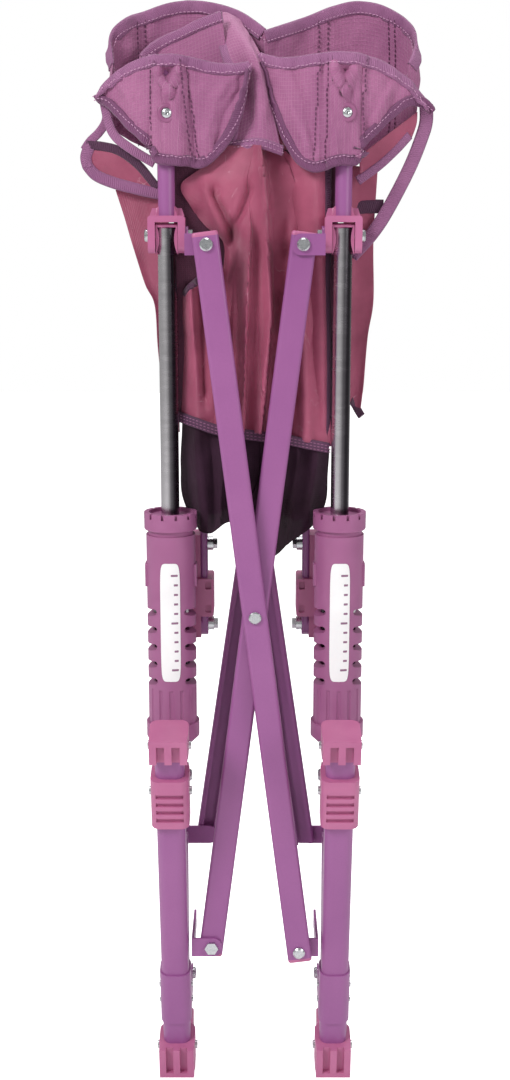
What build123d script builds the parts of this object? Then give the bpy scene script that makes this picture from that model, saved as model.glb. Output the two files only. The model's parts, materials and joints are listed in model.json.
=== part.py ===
from build123d import *
from math import atan2, cos, hypot, radians, sin, tan
import os

# Folding rocking chair, standing folded on its rear feet.
# X runs across the chair, +Y towards the sitter's front, Z up. Sizes in millimetres.

# Where the pivots stand when the chair is folded
piston_y = -2.119  # pistons, rear poles and clevis bolts; centres the folded chair on Y
side_x = 71.0  # middle of each side
rear_pivot_y = piston_y + 27.0  # side bars to rear brackets
front_pivot_y = piston_y + 52.0  # side bars to front brackets
rear_top_z = 742.0
rear_bottom_z = 134.0
front_top_z = 818.0
front_bottom_z = 200.0
rear_half_gap = 38.5  # middle to a rear cross bar's end pivot
front_half_gap = 44.7
clevis_bolt_z = 749.0
piston_foot_z = 288.0

# Ground rails
rail_lean = 11.0
rail_pivot_drop = 50.0  # below the rear lower bracket, down the long side bar
rail_pivot_offset = 31.0  # rail's centre line to its pivot
rail_below = 71.47  # tube below the pivot
rail_past_foot = 69.0  # rail above the piston's foot
rail_width = 24.4
rail_depth = 24.0
rail_wall = 1.6
rail_corner = 7.5
rail_end_skin = 4.0  # end cap beyond the tube
end_cap_length = 31.5
upper_cap_length = 21.5
end_cap_wall = 3.9
tread_height = 4.5
collar_below_foot = 14.0
collar_height = 46.0
collar_wall = 3.8
lug_thickness = 4.0
lug_radius = 11.0
sleeve_low = -20.5
sleeve_height = 54.0
sleeve_wall = 1.5

# Piston
rod_radius = 7.6
rod_length = 319.4
plug_skin = 3.5  # plastic over the rod's end
plug_depth = 11.0
housing_radius = 20.7
housing_bore = 15.0
cap_radius = 22.2
cap_height = 15.0
cap_top_z = 523.0
groove_height = 4.0
flute_height = 32.0
foot_collar_height = 18.0
foot_collar_radius = 22.8
foot_collar_z = 321.0
window_count = 5
window_pitch = 15.2
window_first_z = 377.0
slide_fit = 0.08
spring_wire = 1.3
spring_turns = 11

# Clevis and poles
pole_radius = 6.8
pole_wall = 1.2
pole_top_z = 880.0  # rear poles
front_pole_length = 55.5
pole_tab_width = 11.0
pole_tab_rise = 17.0
clevis_gap = 18.4
clevis_ear = 5.8
clevis_depth = 17.0
clevis_bottom_z = 735.0
clevis_bar_z = 759.5
clevis_bar = 5.0

# Bars and brackets
bar_width = 21.0
bar_depth = 8.5
channel_width = 20.0
channel_depth = 7.0
bar_wall = 1.2
bar_overhang = 6.5
plug_dome = 3.5
plate = 2.2
layer_gap = 0.4
front_plate_gap = 8.7  # behind the front side bars
neck_height = 6.5  # of a rear bracket where it passes a cross bar
flange_lug_radius = 7.5  # round the clevis bolt
rear_plate_y = piston_y - 20.6
front_plate_y = front_pivot_y + bar_width / 2 + front_plate_gap
bracket_height = 17.0
flange_x = 53.8  # inner face of each bracket's flange
front_flange_x = 65.8
long_bar_x = 78.0
low_stay_x = 71.5
high_stay_x = 44.3
stay_lap_top_z = 497.0
stay_lap_bottom_z = 404.0
side_thick = 6.0
bolt_radius = 3.0
bolt_fit = 0.06
end_play = 0.1  # along a pivot, between a head or spacer and a bar
head_radius = 5.2
head_height = 3.0

# Front legs
leg_x = 65.0
leg_foot_z = 0.0
foot_skin = 3.5
foot_height = 26.0

# Seat sling, folded up between the poles
sling_half_x = 36.0
sling_corner = 12.0
wing_corner = 8.0
sling_front_y = piston_y - 3.0
sling_depth = 54.0
sling_bottom_z = 512.0
bundle_top_z = 872.0
wing_half_x = 138.0
wing_tip_z = 850.0
wing_shoulder_x = 116.0
wing_shoulder_z = 902.0
wing_crest_x = 70.0
wing_crest_z = 926.0
wing_valley_z = 908.0
wing_root_x = 92.0
wing_bottom_z = 776.0
cup_near_x = 14.0
cup_far_x = 110.0
cup_floor_z = 850.0
cup_lip_z = 884.0
cup_wall = 3.0
wing_front_y = piston_y + pole_radius + 0.3
wing_depth = 26.9

# Worked out from the sizes above
rear_height = rear_top_z - rear_bottom_z
front_height = front_top_z - front_bottom_z
side_gap = front_pivot_y - rear_pivot_y
long_lean = atan2(side_gap, front_top_z - rear_bottom_z)
stay_lean = atan2(side_gap, rear_top_z - front_bottom_z)
cross_share = rear_height / (front_top_z - rear_bottom_z + rear_top_z - front_bottom_z)
cross_y = rear_pivot_y + cross_share * side_gap
cross_z = rear_bottom_z + cross_share * (front_top_z - rear_bottom_z)
rail_pivot_y = rear_pivot_y - rail_pivot_drop * sin(long_lean)
rail_pivot_z = rear_bottom_z - rail_pivot_drop * cos(long_lean)
housing_top_z = cap_top_z - cap_height
rod_top_z = clevis_bolt_z + 6.4
plug_reach = rod_top_z + plug_skin - clevis_bolt_z
long_face_x = long_bar_x - side_thick / 2
plug_width = clevis_gap - 0.8
clevis_half = clevis_gap / 2 + clevis_ear

sides = (("left", -1), ("right", 1))
os.makedirs("parts", exist_ok=True)


def save(part, label):
    part.label = label
    export_step(part, f"parts/{label}.step")


def rail_plane(side, along, out=0.0):
    """Section plane across the rail; its y axis points from the rail to the piston."""
    lean = radians(rail_lean)
    foot_y = rail_pivot_y - rail_pivot_offset * cos(lean)
    foot_z = rail_pivot_z - rail_pivot_offset * sin(lean)
    origin = (
        side * side_x,
        foot_y - along * sin(lean) + out * cos(lean),
        foot_z + along * cos(lean) + out * sin(lean),
    )
    return Plane(origin=origin, x_dir=(1, 0, 0), z_dir=(0, -sin(lean), cos(lean)))


def piston_foot_along():
    lean = radians(rail_lean)
    base = rail_plane(1, 0).origin
    return (piston_foot_z - base.Z) * cos(lean) - (piston_y - base.Y) * sin(lean)


def piston_foot_out():
    lean = radians(rail_lean)
    base = rail_plane(1, 0).origin
    return (piston_foot_z - base.Z) * sin(lean) + (piston_y - base.Y) * cos(lean)


def cross_plane(y, z, toward):
    """Plane across a cross bar at its middle; toward is the bar's upper end."""
    return Plane(origin=(0, y, z), x_dir=(0, 1, 0), z_dir=toward)


def side_plane(x, y, z, lean):
    """Plane across a side bar; lean tips its upper end towards +Y."""
    return Plane(origin=(x, y, z), x_dir=(1, 0, 0), z_dir=(0, sin(lean), cos(lean)))


def x_axis(x, y, z):
    """Plane at a point with its normal along X."""
    return Plane(origin=(x, y, z), x_dir=(0, 1, 0), z_dir=(1, 0, 0))


def y_axis(x, y, z):
    """Plane at a point with its normal towards the rear."""
    return Plane(origin=(x, y, z), x_dir=(1, 0, 0), z_dir=(0, -1, 0))


def x_bolt(x_from, x_to, y, z, head_at_low=True, head_at_high=True, radius=bolt_radius):
    """Bolt along X with domed heads outside the two given faces."""
    with BuildPart() as bolt:
        with BuildSketch(x_axis(x_from, y, z)):
            Circle(radius)
        extrude(amount=x_to - x_from)
        if head_at_low:
            with BuildSketch(x_axis(x_from, y, z)):
                Circle(head_radius)
            extrude(amount=-head_height)
            chamfer(bolt.edges().group_by(Axis.X)[0], head_height * 0.35)
        if head_at_high:
            with BuildSketch(x_axis(x_to, y, z)):
                Circle(head_radius)
            extrude(amount=head_height)
            chamfer(bolt.edges().group_by(Axis.X)[-1], head_height * 0.35)
    return bolt.part


def hex_nut_x(x_face, out, y, z, across=10.0, height=4.0):
    """Hexagon nut on a face that looks along X, out being 1 or -1."""
    with BuildPart() as nut:
        with BuildSketch(x_axis(x_face, y, z)):
            RegularPolygon(across / 2, 6, major_radius=False)
        extrude(amount=out * height)
    return nut.part


def rivet_y(x, y_front, y_back, z, hex_head=False):
    """Rivet along Y with its head in front of y_front."""
    with BuildPart() as rivet:
        with BuildSketch(y_axis(x, y_back, z)):
            Circle(bolt_radius)
        extrude(amount=y_back - y_front)
        with BuildSketch(y_axis(x, y_front, z)):
            if hex_head:
                RegularPolygon(head_radius, 6, major_radius=False)
            else:
                Circle(head_radius)
        extrude(amount=head_height)
        if not hex_head:
            chamfer(rivet.edges().group_by(Axis.Y)[0], head_height * 0.4)
    return rivet.part


# Cross bars

def cross_bar(label, y_front, z_mid, half_gap, height, up_side, channel=False):
    """Tube between a lower and an upper bracket, crossing its partner at mid height."""
    width = channel_width if channel else bar_width
    depth = channel_depth if channel else bar_depth
    length = hypot(2 * half_gap, height)
    toward = (up_side * 2 * half_gap, 0, height)
    y_mid = y_front + depth / 2
    half = length / 2 + bar_overhang
    base = cross_plane(y_mid, z_mid, toward)
    with BuildPart() as bar:
        with BuildSketch(base):
            RectangleRounded(depth, width, depth * 0.35)
        extrude(amount=half, both=True)
        with BuildSketch(base):
            RectangleRounded(depth - 2 * bar_wall, width - 2 * bar_wall, depth * 0.25)
            if channel:
                with Locations((-depth / 2, 0)):
                    Rectangle(depth, width * 0.5)
        extrude(amount=half, both=True, mode=Mode.SUBTRACT)
        with BuildSketch(y_axis(0, y_front + depth, z_mid)):
            Circle(bolt_radius + bolt_fit)
        extrude(amount=depth, mode=Mode.SUBTRACT)
        if not channel:
            for end in (-1, 1):
                with BuildSketch(y_axis(end * up_side * half_gap, y_front + depth,
                                        z_mid + end * height / 2)):
                    Circle(bolt_radius)
                extrude(amount=depth, mode=Mode.SUBTRACT)
    save(bar.part, label)
    return base, half


def bar_plugs(label, base, half):
    """Domed plastic plugs that close both ends of a cross bar."""
    with BuildPart() as plugs:
        for end in (-1, 1):
            with BuildSketch(base.offset(end * half)):
                RectangleRounded(bar_depth, bar_width, bar_depth * 0.35)
            dome = extrude(amount=end * plug_dome)
            far = dome.edges().filter_by(
                lambda e: abs(base.to_local_coords(e.center()).Z) > half + plug_dome - 0.01)
            fillet(far, plug_dome * 0.6)
            with BuildSketch(base.offset(end * half)):
                RectangleRounded(bar_depth - 2 * bar_wall, bar_width - 2 * bar_wall, bar_depth * 0.25)
            extrude(amount=-end * 2.0)
    save(plugs.part, label)


near_rear_y = rear_plate_y - layer_gap - bar_depth
far_rear_y = rear_plate_y + plate + layer_gap
near_front_y = front_plate_y - layer_gap - channel_depth
far_front_y = front_plate_y + plate + layer_gap
rear_mid_z = (rear_top_z + rear_bottom_z) / 2
front_mid_z = (front_top_z + front_bottom_z) / 2

near_base, near_half = cross_bar(
    "rear_cross_bar_near", near_rear_y, rear_mid_z, rear_half_gap, rear_height, -1)
bar_plugs("rear_cross_plugs_near", near_base, near_half)
far_base, far_half = cross_bar(
    "rear_cross_bar_far", far_rear_y, rear_mid_z, rear_half_gap, rear_height, 1)
bar_plugs("rear_cross_plugs_far", far_base, far_half)
cross_bar("front_cross_bar_near", near_front_y, front_mid_z, front_half_gap, front_height, -1, True)
cross_bar("front_cross_bar_far", far_front_y, front_mid_z, front_half_gap, front_height, 1, True)

with BuildPart() as rear_cross_rivets:
    add(rivet_y(-rear_half_gap, near_rear_y, near_rear_y + bar_depth, rear_top_z))
    add(rivet_y(rear_half_gap, near_rear_y, near_rear_y + bar_depth, rear_bottom_z))
save(rear_cross_rivets.part, "rear_cross_rivets")


def cross_pivot(label, y_front, y_back, z, depth):
    """Rivet at the middle of a crossed pair, with a spacer between the bars."""
    with BuildPart() as pivot:
        with BuildSketch(y_axis(0, y_back + end_play, z)):
            Circle(bolt_radius)
        extrude(amount=y_back - y_front + 2 * end_play)
        for face, out in ((y_front - end_play, 1), (y_back + end_play, -1)):
            with BuildSketch(y_axis(0, face, z)):
                Circle(head_radius)
            extrude(amount=out * head_height * 0.8)
        chamfer(pivot.edges().group_by(Axis.Y)[0], head_height * 0.3)
        with BuildSketch(y_axis(0, y_back - depth - end_play, z)):
            Circle(head_radius + 1.5)
        extrude(amount=y_back - y_front - 2 * depth - 2 * end_play)
    save(pivot.part, label)


cross_pivot("rear_cross_pivot", near_rear_y, far_rear_y + bar_depth, rear_mid_z, bar_depth)
cross_pivot("front_cross_pivot", near_front_y, far_front_y + channel_depth, front_mid_z, channel_depth)


# Side bars

def side_bar(label, x, y, z, lean, below, above, holes):
    """Flat-oval tube in a side plane, its ends flattened solid and round about their middles."""
    base = side_plane(x, y, z, lean)
    with BuildPart() as bar:
        with BuildSketch(base.offset(-below)):
            RectangleRounded(side_thick, bar_width, side_thick * 0.35)
        extrude(amount=below + above)
        for end in (-below, above):
            tip = base.offset(end).origin
            with BuildSketch(x_axis(x - side_thick / 2, tip.Y, tip.Z)):
                Circle(bar_width / 2)
            extrude(amount=side_thick)
        with BuildSketch(base.offset(bar_width / 2 - below)):
            RectangleRounded(side_thick - 2 * bar_wall, bar_width - 2 * bar_wall, side_thick * 0.25)
        extrude(amount=below + above - bar_width, mode=Mode.SUBTRACT)
        for hole_y, hole_z, radius in holes:
            with BuildSketch(x_axis(x - side_thick, hole_y, hole_z)):
                Circle(radius)
            extrude(amount=2 * side_thick, mode=Mode.SUBTRACT)
    save(bar.part, label)


def on_stay(z):
    return rear_pivot_y + (rear_top_z - z) * tan(stay_lean)


stay_bolts_z = (stay_lap_top_z - 10.0, stay_lap_bottom_z + 10.0)
for name, side in sides:
    snug = bolt_radius
    running = bolt_radius + bolt_fit
    side_bar(
        f"side_long_bar_{name}", side * long_bar_x, cross_y, cross_z, long_lean,
        (cross_z - rail_pivot_z) / cos(long_lean),
        (front_top_z - cross_z) / cos(long_lean),
        [(cross_y, cross_z, running), (rail_pivot_y, rail_pivot_z, running)],
    )
    side_bar(
        f"side_stay_upper_{name}", side * high_stay_x,
        on_stay(rear_top_z), rear_top_z, -stay_lean,
        (rear_top_z - stay_lap_bottom_z - bar_width / 2) / cos(stay_lean), 0.0,
        [(on_stay(z), z, snug) for z in stay_bolts_z],
    )
    side_bar(
        f"side_stay_lower_{name}", side * low_stay_x,
        on_stay(front_bottom_z), front_bottom_z, -stay_lean,
        0.0, (stay_lap_top_z - bar_width / 2 - front_bottom_z) / cos(stay_lean),
        [(cross_y, cross_z, running)] + [(on_stay(z), z, snug) for z in stay_bolts_z],
    )

    # Moulded block that spaces the two stays and wraps the inner one
    inner = high_stay_x - side_thick / 2
    outer = low_stay_x - side_thick / 2
    grip_z = (stay_bolts_z[0] + stay_bolts_z[1]) / 2 - 9.0
    with BuildPart() as side_block:
        with BuildSketch(side_plane(side * (high_stay_x + side_thick / 2 + outer) / 2,
                                    on_stay(stay_lap_bottom_z), stay_lap_bottom_z, -stay_lean)):
            Rectangle(outer - high_stay_x - side_thick / 2, bar_width)
        extrude(amount=(stay_lap_top_z - stay_lap_bottom_z) / cos(stay_lean))
        with BuildSketch(side_plane(side * (inner - 5.3 + outer) / 2, on_stay(grip_z - 17),
                                    grip_z - 17, -stay_lean)):
            Rectangle(outer - inner + 5.3, bar_width + 8.0)
        extrude(amount=34.0)
        fillet(side_block.edges().group_by(Axis.X)[0 if side > 0 else -1], 2.0)
        with BuildSketch(side_plane(side * high_stay_x, on_stay(rear_top_z), rear_top_z, -stay_lean)):
            RectangleRounded(side_thick, bar_width, side_thick * 0.35)
        extrude(amount=-(rear_top_z - stay_lap_bottom_z + 20), mode=Mode.SUBTRACT)
        for z in stay_bolts_z:
            with BuildSketch(x_axis(side * inner, on_stay(z), z)):
                Circle(snug)
            extrude(amount=side * (outer - inner), mode=Mode.SUBTRACT)
        with BuildSketch(x_axis(side * (outer - 6.0), cross_y, cross_z)):
            Circle(running)
        extrude(amount=side * 6.0, mode=Mode.SUBTRACT)
        with BuildSketch(y_axis(side * (inner - 0.5), on_stay(grip_z) - bar_width / 2 - 1.5, grip_z)):
            with Locations((0, 10.5), (0, -10.5)):
                RectangleRounded(5.0, 7.0, 1.2)
        extrude(amount=6.0, mode=Mode.SUBTRACT)
    save(side_block.part, f"side_block_{name}")

    # Bolts and collars that hold the two stays together
    with BuildPart() as stay_bolts:
        for z in stay_bolts_z:
            add(x_bolt(*sorted((side * inner, side * (outer + side_thick))), on_stay(z), z,
                       head_at_low=False, head_at_high=False))
            with BuildSketch(x_axis(side * inner, on_stay(z), z)):
                Circle(bar_depth * 0.7)
            extrude(amount=-side * 5.0)
            add(hex_nut_x(side * (inner - 5.0), -side, on_stay(z), z, across=8.0, height=3.5))
    save(stay_bolts.part, f"side_stay_bolts_{name}")

    # Pin where the long bar and the stay cross
    with BuildPart() as side_pivot:
        add(x_bolt(*sorted((side * (outer - 5.0), side * (long_bar_x + side_thick / 2 + 0.1))),
                   cross_y, cross_z, head_at_low=side < 0, head_at_high=side > 0))
    save(side_pivot.part, f"side_pivot_{name}")


# Brackets

def bracket(label, side, y_plate, z, half_gap, flange_inner, y_far, neck_side, holes, lug=None):
    """Pressed angle: a plate for a cross bar and a flange, necked where a bar swings past it."""
    inner = half_gap - 9.0
    with BuildPart() as angle:
        with BuildSketch(y_axis(0, y_plate + plate, z)):
            with Locations((side * (inner + flange_inner + plate) / 2, 0)):
                Rectangle(flange_inner + plate - inner, bracket_height)
        extrude(amount=plate)
        corner = angle.edges().filter_by(Axis.Y).group_by(Axis.X)[0 if side > 0 else -1]
        fillet(corner, bracket_height * 0.42)
        neck_end = far_rear_y + bar_depth + 1.0
        neck_z = z + neck_side * (bracket_height - neck_height) / 2
        with BuildSketch(x_axis(side * flange_inner, 0, 0)):
            with Locations(((neck_end + y_far) / 2, z)):
                Rectangle(y_far - neck_end, bracket_height)
            with Locations(((y_plate + neck_end) / 2, neck_z)):
                Rectangle(neck_end - y_plate, neck_height)
            if lug:
                with Locations(lug):
                    Circle(flange_lug_radius)
        extrude(amount=side * plate)
        for hole_y, hole_z in holes:
            with BuildSketch(x_axis(side * flange_inner, hole_y, hole_z)):
                Circle(bolt_radius)
            extrude(amount=side * plate, mode=Mode.SUBTRACT)
        with BuildSketch(y_axis(side * half_gap, y_plate + plate, z)):
            Circle(bolt_radius)
        extrude(amount=plate, mode=Mode.SUBTRACT)
    save(angle.part, label)


for name, side in sides:
    far_y = rear_pivot_y + 8.0
    bracket(f"rear_top_bracket_{name}", side, rear_plate_y, rear_top_z, rear_half_gap,
            flange_x, far_y, -1,
            [(rear_pivot_y, rear_top_z), (piston_y, clevis_bolt_z)], (piston_y, clevis_bolt_z))
    bracket(f"rear_low_bracket_{name}", side, rear_plate_y, rear_bottom_z, rear_half_gap,
            flange_x, far_y, 1, [(rear_pivot_y, rear_bottom_z)])


# Rear hubs: clevis, pole and their bolts
for name, side in sides:
    x = side * side_x
    with BuildPart() as clevis:
        with BuildSketch(y_axis(x, piston_y + clevis_depth / 2, 0)):
            with Locations((0, clevis_bar_z + clevis_bar / 2)):
                Rectangle(2 * clevis_half, clevis_bar)
            for ear in (-1, 1):
                with Locations((ear * (clevis_gap + clevis_ear) / 2,
                                (clevis_bar_z + clevis_bottom_z) / 2)):
                    Rectangle(clevis_ear, clevis_bar_z - clevis_bottom_z)
        extrude(amount=clevis_depth)
        fillet(clevis.edges().filter_by(Axis.X).group_by(Axis.Z)[0], clevis_ear)
        fillet(clevis.edges().filter_by(Axis.Y).group_by(Axis.Z)[-1], 2.5)
        with BuildSketch(Plane.XY.offset(clevis_bar_z + clevis_bar)):
            with Locations((x, piston_y)):
                Circle(pole_radius + 2.4)
            with Locations((x, piston_y + 4.5)):
                Rectangle(2 * clevis_half - 2, 4.0)
        extrude(amount=11.0, taper=18)
        with BuildSketch(Plane.XY.offset(clevis_bar_z + 2.0)):
            with Locations((x, piston_y)):
                Circle(pole_radius)
        extrude(amount=20.0, mode=Mode.SUBTRACT)
        with BuildSketch(Plane.XY.offset(clevis_bar_z + clevis_bar)):
            with Locations((x, piston_y - pole_radius - 3.0)):
                Rectangle(2 * clevis_half, 2 * pole_radius)
        extrude(amount=14.0, mode=Mode.SUBTRACT)
        with BuildSketch(x_axis(x - 20, piston_y, clevis_bolt_z)):
            Circle(bolt_radius)
        extrude(amount=40, mode=Mode.SUBTRACT)
    save(clevis.part, f"rear_clevis_{name}")

    with BuildPart() as rear_pole:
        with BuildSketch(Plane.XY.offset(clevis_bar_z + 2.0)):
            with Locations((x, piston_y)):
                Circle(pole_radius)
        extrude(amount=pole_top_z - clevis_bar_z - 2.0)
        chamfer(rear_pole.edges().group_by(Axis.Z)[-1], pole_wall)
        with BuildSketch(Plane.XY.offset(clevis_bar_z + 4.0)):
            with Locations((x, piston_y)):
                Circle(pole_radius - pole_wall)
        extrude(amount=pole_top_z - clevis_bar_z - 8.0, mode=Mode.SUBTRACT)
    save(rear_pole.part, f"rear_pole_{name}")

    ear_out = side_x + clevis_half
    with BuildPart() as hub_bolts:
        add(x_bolt(*sorted((side * flange_x, side * ear_out)), piston_y, clevis_bolt_z,
                   head_at_low=side < 0, head_at_high=side > 0))
        add(hex_nut_x(side * flange_x, -side, piston_y, clevis_bolt_z, across=9.0, height=3.5))
        add(x_bolt(*sorted((side * (high_stay_x + side_thick / 2 + 0.3), side * (flange_x + plate))),
                   rear_pivot_y, rear_top_z, head_at_low=False, head_at_high=False))
        if side > 0:
            add(rivet_y(side * rear_half_gap, rear_plate_y, rear_plate_y + plate, rear_top_z))
    save(hub_bolts.part, f"rear_hub_bolts_{name}")

with BuildPart() as low_nut:
    add(rivet_y(-rear_half_gap, rear_plate_y, rear_plate_y + plate, rear_bottom_z, hex_head=True))
save(low_nut.part, "rear_low_nut_left")


# Front hubs: pole with its welded angle
def front_angle(side, z):
    """Plate for a front cross bar, flange and boss for the side bar."""
    inner = front_half_gap - 9.0
    low_y = front_pivot_y - 8.0
    high_y = front_plate_y + plate
    with BuildPart() as angle:
        with BuildSketch(y_axis(0, high_y, z)):
            with Locations((side * (inner + front_flange_x + plate) / 2, 0)):
                Rectangle(front_flange_x + plate - inner, bracket_height)
        extrude(amount=plate)
        corner = angle.edges().filter_by(Axis.Y).group_by(Axis.X)[0 if side > 0 else -1]
        fillet(corner, bracket_height * 0.42)
        with BuildSketch(x_axis(side * front_flange_x, 0, 0)):
            with Locations(((low_y + high_y) / 2, z)):
                Rectangle(high_y - low_y, bracket_height)
        extrude(amount=side * plate)
    return angle.part


for name, side in sides:
    with BuildPart() as front_pole:
        add(front_angle(side, front_top_z))
        with BuildSketch(x_axis(side * (front_flange_x + plate), front_pivot_y, front_top_z)):
            Circle(bracket_height * 0.42)
        extrude(amount=side * (long_face_x - front_flange_x - plate - 0.4))
        with BuildSketch(x_axis(side * front_flange_x, front_pivot_y, front_top_z + pole_tab_rise)):
            Rectangle(pole_tab_width, 2 * pole_tab_rise)
        extrude(amount=side * plate)
        pole_x = side * (front_flange_x + plate - 0.4)
        pole_low_z = front_top_z + bar_width / 2 + 3.0
        with BuildSketch(Plane.XY.offset(pole_low_z)):
            with Locations((pole_x, front_pivot_y)):
                Circle(pole_radius)
        extrude(amount=front_pole_length)
        chamfer(front_pole.edges().group_by(Axis.Z)[-1], pole_wall)
        with BuildSketch(Plane.XY.offset(pole_low_z + 3.0)):
            with Locations((pole_x, front_pivot_y)):
                Circle(pole_radius - pole_wall)
        extrude(amount=front_pole_length - 7.0, mode=Mode.SUBTRACT)
    save(front_pole.part, f"front_pole_{name}")

    # Front leg: flat-oval bar with the angle welded to it
    with BuildPart() as front_leg:
        with BuildSketch(Plane.XY.offset(leg_foot_z + foot_skin)):
            with Locations((side * leg_x, front_pivot_y)):
                RectangleRounded(side_thick, bar_width, side_thick * 0.35)
        extrude(amount=front_bottom_z - leg_foot_z - foot_skin)
        with BuildSketch(x_axis(side * leg_x - side_thick / 2, front_pivot_y, front_bottom_z)):
            Circle(bar_width / 2)
        extrude(amount=side_thick)
        with BuildSketch(Plane.XY.offset(leg_foot_z + foot_skin)):
            with Locations((side * leg_x, front_pivot_y)):
                RectangleRounded(side_thick - 2 * bar_wall, bar_width - 2 * bar_wall, side_thick * 0.25)
        extrude(amount=front_bottom_z - leg_foot_z - foot_skin - bar_width / 2, mode=Mode.SUBTRACT)
        add(front_angle(side, front_bottom_z))
    save(front_leg.part, f"front_leg_{name}")

    with BuildPart() as front_foot:
        with BuildSketch(Plane.XY.offset(leg_foot_z)):
            with Locations((side * leg_x, front_pivot_y)):
                RectangleRounded(side_thick + 2 * foot_skin, bar_width + 2 * foot_skin, 5.0)
        extrude(amount=foot_height)
        fillet(front_foot.edges().group_by(Axis.Z)[0], 2.0)
        chamfer(front_foot.edges().group_by(Axis.Z)[-1], 1.2)
        with BuildSketch(Plane.XY.offset(leg_foot_z + foot_skin)):
            with Locations((side * leg_x, front_pivot_y)):
                RectangleRounded(side_thick, bar_width, side_thick * 0.35)
        extrude(amount=foot_height, mode=Mode.SUBTRACT)
    save(front_foot.part, f"front_foot_{name}")


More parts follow.
